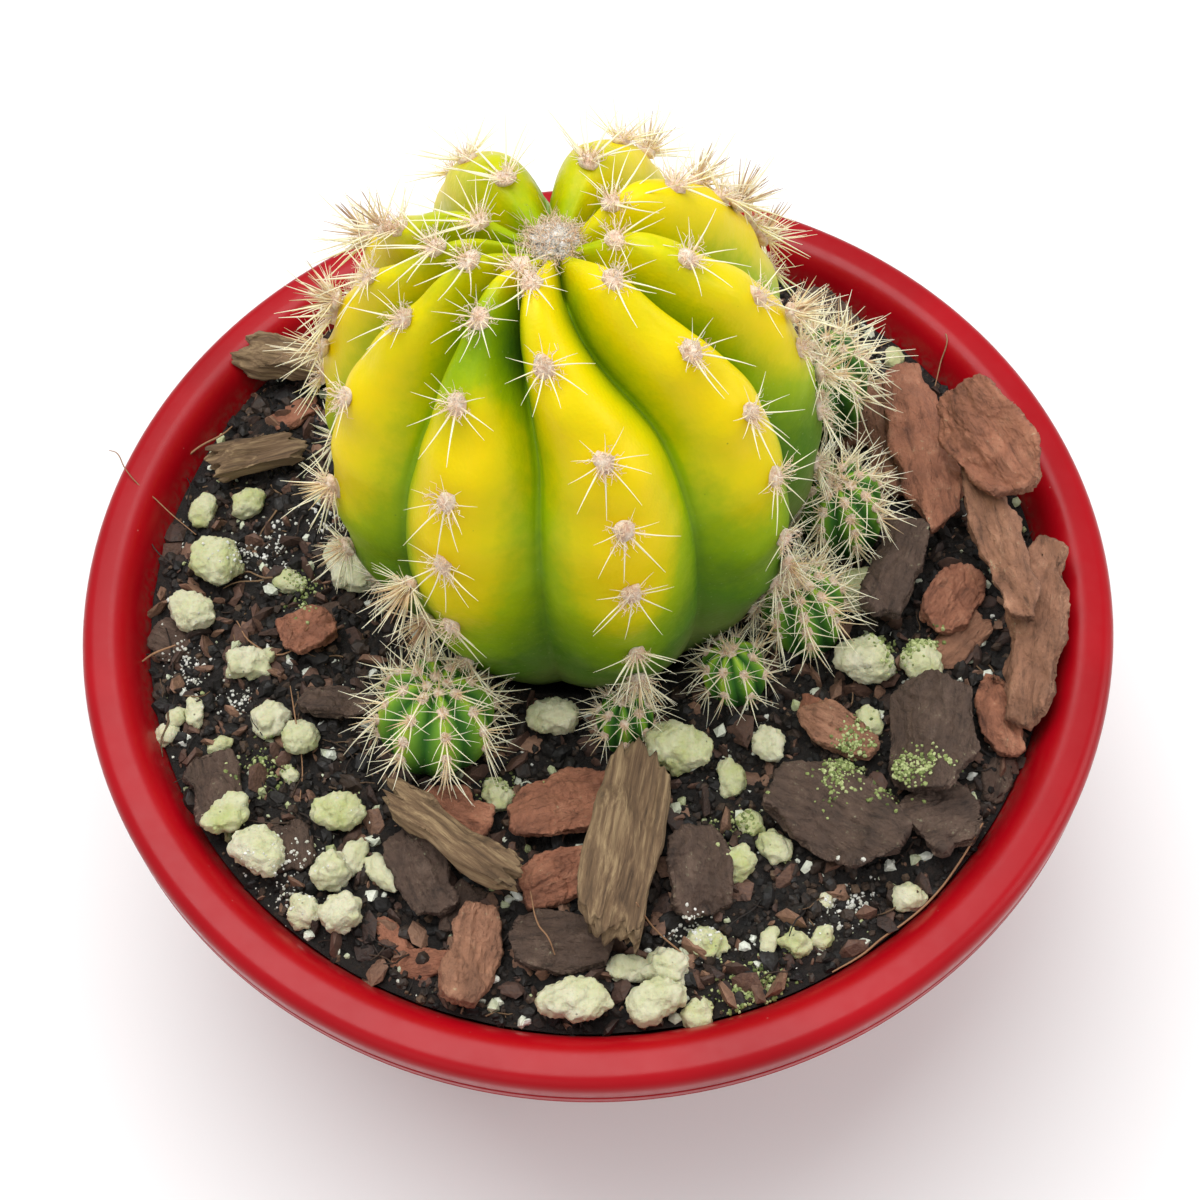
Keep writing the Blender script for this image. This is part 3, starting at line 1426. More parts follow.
@dataclass
class MainStem:
    """The ten-ribbed main stem, yellow above and green in its grooves and at its foot."""

    radius: float = 0.0392
    half_height: float = 0.0502
    lean_back: float = 3.5
    lean_left: float = 1.3
    ribs: tuple = (12.0, 52.0, 83.0, 121.0, 157.0, 208.0, 240.0, 262.0, 291.0, 330.0)
    crown_turns: tuple = (-28.0, -18.0, -14.0, -8.0, -4.0, 8.0, 24.0, 20.0, 8.0, -6.0)
    green_line: tuple = (-5.0, 12.0, 18.0, 14.0, 8.0, 6.0, 4.0, 3.0, -2.0, -3.0)
    crest_green: tuple = (0.06, 0.14, 0.26, 0.10, 0.26, 0.30, 0.34, 0.32, 0.28, 0.16)
    groove: float = 0.0055
    lump: float = 0.0011
    grid: tuple = (360, 200)
    back_ribs: tuple = (3, 7)
    high_from: float = 48.0
    low_below: float = -4.0
    crown_from: float = 65.0

    def __post_init__(self) -> None:
        """Set up the stem's shape and seat it on its solid."""
        turn = Euler((-math.radians(self.lean_back), -math.radians(self.lean_left), 0.0)).to_matrix()
        self.globe = RibbedGlobe(
            radius=self.radius, top=self.half_height, foot=self.half_height, ribs=self.ribs,
            groove=self.groove, crown_gain=0.0056, foot_loss=0.0040, areole_rise=0.0007,
            areoles=(72.0, 56.0, 40.0, 25.0, 10.0, -6.0, -21.0), crown_turns=self.crown_turns,
            dimple_depth=0.0085, dimple_radius=0.0150, turn=turn
        )

    def greenness(self, turn: np.ndarray, latitude: np.ndarray, data: dict) -> np.ndarray:
        """Work out how green each point is.

        Args:
            turn: From 0 to 1 round the stem.
            latitude: Degrees up from the widest ring.
            data: The stem's shaping numbers at each point.

        Returns:
            From 0, ripe yellow, to 1, dark green.
        """
        count = len(self.ribs)
        place = turn * count
        lines = np.interp(place, np.arange(count + 1), self.green_line + self.green_line[:1])
        crests = np.interp(place, np.arange(count + 1), self.crest_green + self.crest_green[:1])
        aside = data["aside"]
        drift = np.sin(np.radians(data["bearing"]) * 5.0 + 1.0) * 2.0
        below = lines + drift - latitude + 6.0 * aside ** 2
        foot = 0.74 * smooth_step(-20.0, 18.0, below) + 0.26 * smooth_step(14.0, 34.0, below)
        low = 1.0 - smooth_step(-5.0, 50.0, latitude)
        groove = 0.36 * smooth_step(0.25 - 0.2 * low, 0.92, aside) + 0.22 * smooth_step(
            0.90 - 0.08 * low, 1.0, aside
        )
        crown = crests * smooth_step(28.0, 66.0, latitude) + 0.16 * smooth_step(72.0, 86.0, latitude)
        green = foot + (0.84 - np.minimum(foot, 0.84)) / 0.84 * np.maximum(groove, crown)
        for bearing, lat, wide, tall, depth in (
            (331.0, 58.0, 17.0, 10.0, 0.46), (322.0, 46.0, 8.0, 9.0, 0.24)
        ):
            away = (data["bearing"] - bearing + 180.0) % 360.0 - 180.0
            patch = np.exp(-((away / wide) ** 2) - ((latitude - lat) / tall) ** 2)
            green += depth * patch
        return np.clip(green, 0.0, 1.0)

    def build(self, grooves: GrooveTree, finish: bpy.types.Material) -> bpy.types.Object:
        """Build the stem.

        Args:
            grooves: The tree that presses the grooves.
            finish: The stem's material.

        Returns:
            The stem.
        """
        pressed, turn, latitude = grooves.skin(self.globe, "stem", self.grid, finish, self.lump)
        store(pressed, "green", self.greenness(turn, latitude, self.globe.bare(turn, latitude)))
        return set_out("stem_body", pressed, finish, "stem_skin", ["stem"])

    def areoles(self, rng: np.random.Generator) -> list[Areole]:
        """Place the areoles down every rib.

        Args:
            rng: The seeded source of every draw.

        Returns:
            The areoles.
        """
        rows = []
        for rib, latitudes in enumerate(STEM_AREOLES):
            behind = self.back_ribs[0] <= rib <= self.back_ribs[1]
            for lat in latitudes:
                spot, outward, down = self.globe.crest(rib, lat + rng.uniform(-0.6, 0.6))
                high, low, crown = lat > self.high_from, lat < self.low_below, lat > self.crown_from
                radials = int(rng.integers(9, 13)) + 5 * low + 4 * behind + 2 * crown
                reach = 0.0074 if high else 0.0076
                reach = reach + (0.0016 if behind else 0.0) + (0.0004 if low else 0.0)
                rows.append(
                    Areole(
                        spot=spot + outward * 0.0002, outward=outward, down=down,
                        pad=0.0041 if not low else 0.0034, radials=radials, reach=reach,
                        centrals=int(rng.integers(2, 5)) if lat > 30.0 else int(rng.integers(1, 3)),
                        central_reach=0.0034 if high else 0.0028,
                        tone=0.34 if crown or behind else (0.20 if lat > 20.0 else 0.12),
                        rise=30.0 if high or low else 22.0
                    )
                )
        return rows

    def tufts(self) -> list[Areole]:
        """Place the crowded tufts that stand on some ribs.

        Returns:
            The tufts, as dense areoles.
        """
        rows = []
        for rib, aside, lat, count, reach, tone in (
            (9, -0.30, 1.0, 46, 0.0084, 0.42),
            (9, -0.20, -7.0, 30, 0.0080, 0.55),
            (8, 0.0, 9.0, 22, 0.0082, 0.30),
            (8, 0.02, -9.0, 18, 0.0075, 0.30),
            (7, 0.0, 34.0, 26, 0.0080, 0.50),
            (7, 0.1, 22.0, 26, 0.0078, 0.50),
            (6, 0.0, 36.0, 26, 0.0082, 0.55),
            (6, 0.1, 50.0, 18, 0.0080, 0.55),
            (4, -0.1, 38.0, 30, 0.0076, 0.40),
            (3, 0.25, 46.0, 30, 0.0078, 0.42),
            (3, 0.0, 38.0, 34, 0.0080, 0.55),
            (3, 0.0, 24.0, 34, 0.0080, 0.55),
            (2, 0.05, 33.0, 24, 0.0078, 0.45),
            (2, 0.1, 14.0, 24, 0.0076, 0.45),
            (1, 0.1, -10.0, 20, 0.0074, 0.25),
            (0, 0.02, -21.0, 20, 0.0072, 0.20),
        ):
            spot, outward, down = self.globe.crest(rib, lat, aside)
            rows.append(
                Areole(
                    spot=spot + outward * 0.0010, outward=outward, down=down, pad=0.0040, radials=count,
                    reach=reach, centrals=count // 2, central_reach=reach * 0.75, tone=tone, rise=40.0,
                    spread=30.0
                )
            )
        return rows


@dataclass
class Offset:
    """A young plantlet beside the stem."""

    node: str
    bearing: float
    radius: float
    height: float
    lean: float
    spin: float
    reach: float
    tone: float
    green: float

    def globe(self) -> RibbedGlobe:
        """Give the plantlet's ribbed shape, leaned outwards, not yet in its place."""
        angle = math.radians(self.bearing)
        side = Vector((math.cos(angle), math.sin(angle), 0.0))
        return RibbedGlobe(
            radius=self.radius, top=self.radius, foot=self.height + 0.004,
            ribs=tuple(self.spin + 45.0 * i for i in range(8)), groove=self.radius * 0.13,
            foot_loss=self.radius * 0.09, dimple_depth=self.radius * 0.18, dimple_radius=self.radius * 0.45,
            turn=Matrix.Rotation(-math.radians(self.lean), 3, side)
        )


# Lengths in metres, bearing, lean and spin in degrees, in the order of the fields above.
OFFSETS = (
    Offset("offset_front_left", 328.0, 0.0094, 0.0066, 12.0, 10.0, 0.0074, 0.22, 0.30),
    Offset("offset_front", 9.0, 0.0046, 0.0040, 18.0, 0.0, 0.0060, 0.26, 0.45),
    Offset("offset_front_right", 38.0, 0.0052, 0.0042, 16.0, 25.0, 0.0062, 0.24, 0.30),
    Offset("offset_right_front", 59.0, 0.0068, 0.0090, 14.0, 5.0, 0.0072, 0.26, 0.34),
    Offset("offset_right", 84.0, 0.0072, 0.0110, 10.0, 15.0, 0.0070, 0.24, 0.42),
    Offset("offset_right_back", 113.0, 0.0078, 0.0165, 12.0, 0.0, 0.0086, 0.34, 0.48),
    Offset("offset_back_right", 146.0, 0.0066, 0.0100, 14.0, 20.0, 0.0074, 0.30, 0.48),
    Offset("offset_back_left", 214.0, 0.0062, 0.0090, 14.0, 12.0, 0.0074, 0.30, 0.48),
)


@dataclass
class Offsets:
    """All the plantlets round the foot of the stem."""

    lump: float = 0.0005
    grid: tuple = (144, 72)
    rows_of_areoles: tuple = (80.0, 56.0, 32.0, 8.0, -14.0)
    globes: list = field(default_factory=list)

    def build(self, grooves: GrooveTree, finish: bpy.types.Material) -> None:
        """Build each plantlet on its own solid.

        Args:
            grooves: The tree that presses the grooves.
            finish: Their material.
        """
        for offset in OFFSETS:
            globe = offset.globe()
            pressed, turn, latitude = grooves.skin(globe, offset.node, self.grid, finish, self.lump)
            aside = globe.bare(turn, latitude)["aside"]
            shade = offset.green + 0.5 * aside ** 1.5 + 0.35 * smooth_step(10.0, -40.0, latitude)
            store(pressed, "green", np.clip(shade - 0.3 * (1.0 - aside) ** 3, 0.0, 1.0))
            set_out(offset.node + "_body", pressed, finish, "offset_skin", [offset.node])
            self.globes.append((offset, globe))

    def areoles(self, rng: np.random.Generator) -> list[Areole]:
        """Place the areoles on every plantlet.

        Args:
            rng: The seeded source of every draw.

        Returns:
            The areoles.
        """
        rows = []
        for offset, globe in self.globes:
            small = offset.radius < 0.006
            latitudes = self.rows_of_areoles[::2] if small else self.rows_of_areoles
            for rib in range(len(globe.ribs)):
                for lat in latitudes:
                    if lat > 70.0 and rib % 2:
                        continue
                    spot, outward, down = globe.crest(rib, lat + (11.0 if rib % 2 else 0.0))
                    rows.append(
                        Areole(
                            spot=spot, outward=outward, down=down, pad=0.0021 if small else 0.0024,
                            radials=int(rng.integers(7, 11)) + (4 if offset.tone > 0.4 else 0),
                            reach=offset.reach * (0.95 if lat < 70.0 else 0.75),
                            centrals=int(rng.integers(1, 4)), central_reach=offset.reach * 0.62,
                            tone=offset.tone, rise=36.0, spread=15.0
                        )
                    )
        return rows


@dataclass
class CrownWool:
    """The tuft of grey and white wool in the dimple of the crown, with young spines in it."""

    hairs: int = 560
    young_spines: int = 64
    sunk: float = 0.0026

    def build(
        self, rng: np.random.Generator, globe: RibbedGlobe, felt: bpy.types.Material, wool: SpineBed,
        young: SpineBed
    ) -> bpy.types.Object:
        """Build the tuft and plant its hairs and young spines.

        Args:
            rng: The seeded source of every draw.
            globe: The stem's shape.
            felt: The wool's material.
            wool: Where the hairs stand.
            young: Where the young spines stand.

        Returns:
            The tuft.
        """
        low, high = (np.array(corner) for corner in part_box("crown_wool"))
        middle, half = (low + high) / 2.0, (high - low) / 2.0 * np.array([0.92, 0.84, 0.95])
        middle[2] -= self.sunk
        shape = bmesh.new()
        bmesh.ops.create_icosphere(shape, subdivisions=5, radius=1.0)
        for vertex in shape.verts:
            way = vertex.co.copy()
            bump = 0.86 + 0.16 * noise.noise(way * 2.2) + 0.20 * abs(noise.noise(way * 6.0))
            bump += 0.08 * noise.noise(way * 15.0)
            vertex.co = Vector(middle + np.array(way) * half * bump)
        mesh = mesh_from("crown_wool_tuft", shape)
        mesh.shade_smooth()
        up = globe.leaned(np.array([[0.0, 0.0, 1.0]]))[0]
        for _ in range(self.hairs):
            angle, away = rng.uniform(0.0, math.tau), math.sqrt(rng.uniform(0.0, 1.0))
            flat = np.array([math.cos(angle), math.sin(angle), 0.0])
            root = middle + flat * half * away * 1.02 + up * half[2] * (0.75 - 0.9 * away ** 2)
            aim = up * 0.7 + flat * away * 0.9 + rng.normal(0.0, 0.6, 3)
            wool.plant(
                root, aim, rng.uniform(0.0010, 0.0024), rng.uniform(0.0, math.tau), rng.uniform(0.0, 1.0)
            )
        for _ in range(self.young_spines):
            angle = rng.uniform(0.0, math.tau)
            flat = np.array([math.cos(angle), math.sin(angle), 0.0])
            root = middle + flat * half * rng.uniform(0.75, 1.15)
            aim = up * rng.uniform(0.5, 1.0) + flat * rng.uniform(0.1, 0.9) + rng.normal(0.0, 0.2, 3)
            young.plant(
                root, aim, rng.uniform(0.0024, 0.0044), rng.uniform(0.0, math.tau), rng.uniform(0.25, 0.7)
            )
        return set_out("crown_wool_tuft", mesh, felt, "wool", ["crown_wool"])


@dataclass
class Armament:
    """Every spine, cushion and hair of the plant."""

    rng: np.random.Generator
    slim: SpineBed = field(default_factory=SpineBed)
    stout: SpineBed = field(default_factory=SpineBed)
    wool: SpineBed = field(default_factory=SpineBed)

    def build(self, areoles: Sequence[Areole], name: str, finishes: dict, slot: str, hairs: int) -> None:
        """Grow the spines, hairs and cushions of some areoles.

        Args:
            areoles: The areoles.
            name: What the pieces' names start with.
            finishes: The materials by name.
            slot: The record's material slot.
            hairs: Hairs on each cushion.
        """
        for areole in areoles:
            areole.dress(self.rng, self.slim, self.stout, self.wool, hairs)
        cushions = joined(name + "_cushions", [areole.cushion(self.rng) for areole in areoles])
        set_out(name + "_cushions", cushions, finishes["felt"], "wool")
        for kind, bed, sides, rings, root, tip, sag, curl, finish, where in (
            ("radial_spines", self.slim, 4, 5, 0.024, 0.0045, 0.10, 0.0, "spine", slot),
            ("central_spines", self.stout, 4, 4, 0.034, 0.005, 0.05, 0.0, "spine", slot),
            ("wool_hairs", self.wool, 3, 4, 0.035, 0.016, 0.45, 0.16, "hair", "wool"),
        ):
            mesh = BristleTree(kind, sides, rings).bench.grow(
                bed.mesh(f"{name}_{kind}_roots"), f"{name}_{kind}", root_girth=root, tip_girth=tip, sag=sag,
                curl=curl, finish=finishes[finish]
            )
            set_out(f"{name}_{kind}", mesh, finishes[finish], where)


@dataclass
class PottingMix:
    """The body of potting mix, lumpy on top and hollowed round the foot of the stem."""

    edge_height: float = MIX_LEVEL
    dome: float = 0.0018
    relief: float = 0.0009
    gap: float = 0.0004
    rings: int = 118
    columns: int = 300
    socket_gap: float = 0.0005

    def top(self, x: np.ndarray, y: np.ndarray, reach: float) -> np.ndarray:
        """Give the height of the mix before its lumps."""
        share = np.hypot(x, y) / reach
        fade = np.maximum(0.0, 1.0 - share ** 4)
        waves = np.sin(x * 190.0 + 0.6) * np.cos(y * 170.0 - 0.4) + 0.6 * np.sin(x * 90.0 - y * 120.0 + 1.3)
        return self.edge_height + self.dome * (1.0 - share ** 2) + self.relief * waves * fade

    def build(self, pot: Pot, stem: RibbedGlobe, finish: bpy.types.Material) -> bpy.types.Object:
        """Build the mix.

        Args:
            pot: The pot that holds it.
            stem: The stem that stands in it.
            finish: Its material.

        Returns:
            The mix.
        """
        edge = pot.inner(self.edge_height) - self.gap
        floor = pot.recess + pot.wall + self.gap
        radii = edge * np.linspace(0.0, 1.0, self.rings + 1)[1:] ** 0.85
        angles = np.arange(self.columns) * math.tau / self.columns
        x = (radii[:, None] * np.cos(angles)).ravel()
        y = (radii[:, None] * np.sin(angles)).ravel()
        height = self.top(x, y, pot.inner(self.edge_height))
        lumps = np.zeros_like(height)
        for i in range(len(lumps)):
            spot = Vector((x[i], y[i], 0.0))
            coarse = noise.noise(spot * 170.0) * 0.0012
            ridged = (0.5 - abs(noise.noise(spot * 430.0))) * 0.0016
            fine = noise.noise(spot * 1100.0) * 0.0008
            lumps[i] = coarse + ridged + fine - 0.0006
        hold = smooth_step(1.0, 0.975, np.hypot(x, y) / edge)
        height = height + lumps * (0.35 + 0.65 * hold)
        away = np.hypot(x - stem.middle[0], y - stem.middle[1]) / (stem.radius + self.socket_gap)
        under = stem.middle[2] - (stem.foot + self.socket_gap) * np.sqrt(np.maximum(0.0, 1.0 - away ** 2))
        height = np.where(away < 0.999, np.minimum(height, under), height)
        rows = [np.stack([x, y, height], axis=1)]
        side = [
            (pot.inner(h) - self.gap, h) for h in np.linspace(
                self.edge_height - 0.004, floor + pot.floor_fillet, 9
            )
        ]
        side.append((pot.inner(floor) - pot.floor_fillet - self.gap, floor))
        for radius, level in side + [(edge * 0.3, floor)]:
            rows.append(
                np.stack(
                    [radius * np.cos(angles), radius * np.sin(angles), np.full(self.columns, level)], axis=1
                )
            )
        centre = height[: self.columns].mean()
        rows.append(np.array([[0.0, 0.0, centre], [0.0, 0.0, floor]]))
        points = np.concatenate(rows)
        n = self.columns
        total = (len(points) - 2) // n
        faces = [
            (i * n + j, (i + 1) * n + j, (i + 1) * n + (j + 1) % n, i * n + (j + 1) % n)
            for i in range(total - 1)
            for j in range(n)
        ]
        faces += [(total * n, j, (j + 1) % n) for j in range(n)]
        faces += [(total * n + 1, (total - 1) * n + (j + 1) % n, (total - 1) * n + j) for j in range(n)]
        mesh = mesh_of("potting_mix_body", points, faces)
        mesh.shade_smooth()
        self.body = mesh
        self.top_rows = len(radii)
        return set_out("potting_mix_body", mesh, finish, "potting_mix", ["potting_mix"])

    def ground(self, stem: RibbedGlobe, pot: Pot) -> bpy.types.Mesh:
        """Copy the open top of the mix, for litter to be strewn on.

        Args:
            stem: The stem, which keeps litter off its own place.
            pot: The pot.

        Returns:
            The open ground.
        """
        points = points_of(self.body)
        reach = pot.inner(self.edge_height) - 0.0012
        foot = stem.radius * 0.82
        faces = []
        for i in range(self.top_rows - 1):
            for j in range(self.columns):
                k = (j + 1) % self.columns
                n = self.columns
                face = (i * n + j, (i + 1) * n + j, (i + 1) * n + k, i * n + k)
                spot = points[face[0]]
                clear = math.hypot(spot[0] - stem.middle[0], spot[1] - stem.middle[1]) > foot
                if clear and math.hypot(spot[0], spot[1]) < reach:
                    faces.append(face)
        return mesh_of("open_ground", points, faces)


class Stuff(Enum):
    """What a loose piece is made of."""

    BARK = "bark"
    FIBRE = "fibre"
    PERLITE = "perlite"


@dataclass
class LoosePiece:
    """Roughens one chip or grain in its own frame."""

    mesh: bpy.types.Mesh
    stuff: Stuff
    seed: float
    voxel: float = 0.00042
    depth: int = 6

    def own_frame(self, points: np.ndarray) -> tuple[np.ndarray, np.ndarray, np.ndarray]:
        """Find the piece's middle, its long, wide and thin axes, and its half sizes."""
        middle = (points.min(axis=0) + points.max(axis=0)) / 2.0
        _, _, axes = np.linalg.svd(points - points.mean(axis=0), full_matrices=False)
        for row in axes:
            if row[np.argmax(np.abs(row))] < 0.0:
                row *= -1.0
        local = (points - middle) @ axes.T
        return middle, axes, np.abs(local).max(axis=0)

    def fine_mesh(self) -> bpy.types.Mesh:
        """Rebuild the piece in small even faces."""
        holder = linked("holder", self.mesh)
        if self.stuff is Stuff.PERLITE:
            rounded = holder.modifiers.new("round", "SUBSURF")
            rounded.levels = rounded.render_levels = 1
        remesh = holder.modifiers.new("even", "REMESH")
        if self.stuff is Stuff.PERLITE:
            remesh.mode = "VOXEL"
            remesh.voxel_size = self.voxel
        else:
            remesh.mode = "SHARP"
            remesh.octree_depth = self.depth
            remesh.scale = 0.95
            remesh.sharpness = 1.0
            remesh.use_remove_disconnected = False
        fine = settled_mesh(holder, "fine")
        bpy.data.objects.remove(holder, do_unlink=True)
        return fine

    def bark(self, at: Vector, way: np.ndarray) -> float:
        """Give how far a point of bark stands out, from its place and facing in the piece's frame."""
        u, v, w = at
        broad = abs(way[2])
        s = self.seed
        ridge = 0.5 - abs(noise.noise(Vector((u * 120.0, v * 620.0, s))))
        layer = noise.noise(Vector((u * 130.0 + 4.0, v * 210.0, s + 9.0))) * 2.4
        step = math.floor(layer * 2.0) + min(1.0, 5.0 * (layer * 2.0 - math.floor(layer * 2.0)))
        crack = max(0.0, 0.10 - abs(noise.noise(Vector((u * 160.0, v * 260.0 + 7.0, s + 3.0))))) * 10.0
        leaf = math.sin(w * 9500.0 + 4.0 * noise.noise(Vector((u * 260.0, v * 260.0, s + 5.0))))
        bite = noise.noise(Vector((u * 230.0, v * 230.0, w * 160.0 + s)))
        grit = noise.noise(Vector((u * 1300.0, v * 1500.0, w * 1500.0 + s)))
        face = 0.40 * ridge + 0.24 * step - 0.42 * crack
        side = 0.20 * leaf + 1.7 * bite
        return (broad * face + (1.0 - broad) * side + 0.24 * grit) * MM

    def fibre(self, at: Vector, way: np.ndarray) -> float:
        """Give how far a point of split wood stands out."""
        u, v, w = at
        s = self.seed
        strand = noise.noise(Vector((u * 70.0, v * 1500.0, w * 1500.0 + s)))
        split = 0.5 - abs(noise.noise(Vector((u * 45.0, v * 560.0, w * 560.0 + s + 4.0)))) * 2.0
        bite = noise.noise(Vector((u * 160.0, v * 260.0, w * 260.0 + s + 8.0)))
        end = abs(way[0])
        return ((1.0 - end) * (0.42 * strand + 0.42 * split) + 0.6 * bite) * MM

    def puff(self, at: Vector, way: np.ndarray) -> float:
        """Give how far a point of perlite stands out."""
        spot = Vector(at) + Vector((self.seed, self.seed * 0.7, 0.0))
        near = noise.voronoi(spot * 430.0)[0]
        facets = near[0] - near[1]
        broad = noise.noise(spot * 240.0)
        ridge = 0.5 - abs(noise.noise(spot * 620.0))
        grit = noise.noise(spot * 1700.0)
        pits = -max(0.0, 0.20 - noise.voronoi(spot * 800.0 + Vector((5.0, 0.0, 0.0)))[0][0]) * 1.6
        return (0.95 * broad - 0.95 * facets + 0.55 * ridge + 0.34 * grit + 1.3 * pits - 0.30) * MM

    def roughened(self) -> bpy.types.Mesh:
        """Roughen the piece, and store its grain and its edges on it."""
        mesh = self.fine_mesh()
        points, ways = points_of(mesh), normals_of(mesh)
        middle, axes, half = self.own_frame(points)
        local, facing = (points - middle) @ axes.T, ways @ axes.T
        relief = {Stuff.BARK: self.bark, Stuff.FIBRE: self.fibre, Stuff.PERLITE: self.puff}[self.stuff]
        scale = min(1.0, half[2] / 0.0019) if self.stuff is not Stuff.PERLITE else min(
            1.0, half.min() / 0.0026
        )
        rise = np.array([relief(Vector(p), n) for p, n in zip(local, facing)]) * scale
        flat = np.maximum(0.0, np.abs(local[:, 2]) - 0.70 * half[2]) * np.sign(local[:, 2])
        squash = 0.0 if self.stuff is Stuff.PERLITE else 0.75
        moved = points + ways * rise[:, None] - squash * flat[:, None] * axes[2]
        if self.stuff is Stuff.FIBRE:
            for i, (u, v, w) in enumerate(local):
                near_end = max(0.0, abs(u) / half[0] - 0.72) / 0.28
                if near_end > 0.0:
                    pull = noise.noise(Vector((self.seed, v * 900.0, w * 900.0))) * 0.0042 * near_end
                    moved[i] += axes[0] * math.copysign(1.0, u) * pull
        move_points(mesh, moved)
        edge = (1.0 - np.abs(facing[:, 2])) if self.stuff is not Stuff.PERLITE else np.zeros(len(points))
        store(mesh, "grain", local + np.array([self.seed * 0.013, self.seed * 0.031, self.seed * 0.007]))
        store(mesh, "edge", np.clip(edge * 1.2, 0.0, 1.0))
        mesh.shade_smooth()
        return mesh


@dataclass
class LooseCover:
    """The bark, wood and perlite that lie on the mix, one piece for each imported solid."""

    skip: tuple = ("pot", "potting_mix", "stem", "crown_wool")

    def build(self, finishes: dict) -> list[bpy.types.Mesh]:
        """Roughen a copy of every loose solid and dress it.

        Args:
            finishes: The materials by slot.

        Returns:
            The meshes, for smaller things to lie on.
        """
        slots = {part["node"]: part["material_slot"] for part in frame["record"]["subparts"]}
        meshes = []
        for number, node in enumerate(sorted(frame["nodes"])):
            if node in self.skip or node.startswith("offset_"):
                continue
            slot = slots[node]
            stuff = Stuff.PERLITE if "perlite" in slot else Stuff.FIBRE if slot == "wood_fibre" else Stuff.BARK
            piece = LoosePiece(solid_copy(node), stuff, 1.7 * number)
            mesh = piece.roughened()
            set_out(node + "_piece", mesh, finishes[slot], slot, [node])
            meshes.append(mesh)
        return meshes


@dataclass(frozen=True)
class Fleck:
    """A small loose piece: its plan place, its two plan sizes in millimetres, its turn and its stuff."""

    x: float
    y: float
    long: float
    wide: float
    turn: float
    slot: str


# Plan place and two plan sizes in millimetres, and the slot.
PERLITE_FLECKS = (
    (11.9, -72.8, 5.2, 4.4, "perlite_green"), (-17.0, -35.7, 6.0, 4.8, "perlite_green"),
    (20.1, -34.8, 4.4, 7.2, "perlite_green"), (-57.4, -9.9, 7.4, 5.9, "perlite"),
    (-53.7, -20.5, 5.8, 6.5, "perlite"), (-59.4, -38.2, 6.0, 7.7, "perlite_green"),
    (-39.7, -45.4, 7.0, 4.3, "perlite"), (-35.3, -47.8, 3.7, 8.2, "perlite"),
    (-47.5, -53.7, 5.5, 4.9, "perlite"), (48.2, 0.1, 5.0, 6.9, "perlite_green"),
    (42.8, -26.4, 4.1, 5.7, "perlite_green"), (1.9, -65.3, 4.5, 6.5, "perlite"),
    (8.1, -65.3, 6.3, 6.5, "perlite"), (45.8, -56.2, 4.5, 5.2, "perlite"),
    (65.2, 31.0, 6.1, 10.6, "perlite"), (14.6, -61.8, 5.4, 6.3, "perlite_green"),
    (23.7, -61.8, 3.0, 5.7, "perlite"), (27.4, -62.4, 5.4, 4.1, "perlite_green"),
    (32.0, -61.9, 4.2, 3.4, "perlite_green"), (25.8, -47.0, 4.6, 6.0, "perlite_green"),
    (22.2, -43.4, 3.9, 5.0, "perlite_green"), (19.3, -50.2, 5.5, 5.9, "perlite_green"),
    (-41.0, 7.2, 7.6, 10.8, "perlite"), (-51.5, 5.3, 6.1, 3.9, "perlite_green"),
    (-66.9, 20.6, 4.5, 6.0, "perlite_green"), (-59.2, 21.2, 6.2, 5.3, "perlite_green"),
    (-66.4, -17.7, 5.9, 3.6, "perlite"), (-69.2, -19.0, 4.0, 3.4, "perlite"),
    (-70.5, -22.0, 4.2, 3.2, "perlite"), (-62.0, -24.5, 4.6, 3.2, "perlite_green"),
    (-44.0, -37.5, 4.2, 3.6, "perlite_green"), (-50.5, -30.0, 3.6, 3.0, "perlite_green"),
    (-56.5, 27.5, 5.0, 4.0, "perlite"), (-62.5, 28.0, 4.6, 3.8, "perlite_green"),
    (47.0, -40.5, 3.8, 3.0, "perlite_green"), (50.5, -33.5, 3.2, 2.8, "perlite_green"),
    (38.0, -52.0, 3.6, 3.0, "perlite"), (33.0, -55.5, 3.2, 2.6, "perlite"),
    (-30.0, -40.0, 3.4, 2.8, "perlite_green"),
    (55.5, 46.0, 4.4, 3.6, "perlite_green"),
    (-20.0, 62.0, 5.4, 4.4, "perlite"), (8.0, 67.0, 6.2, 4.8, "perlite"),
    (-44.0, 52.0, 6.4, 5.0, "perlite_green"), (30.0, 66.0, 5.0, 4.0, "perlite"),
    (-3.0, 60.5, 4.4, 3.6, "perlite_green"), (-33.0, 64.0, 4.2, 3.4, "perlite"),
)
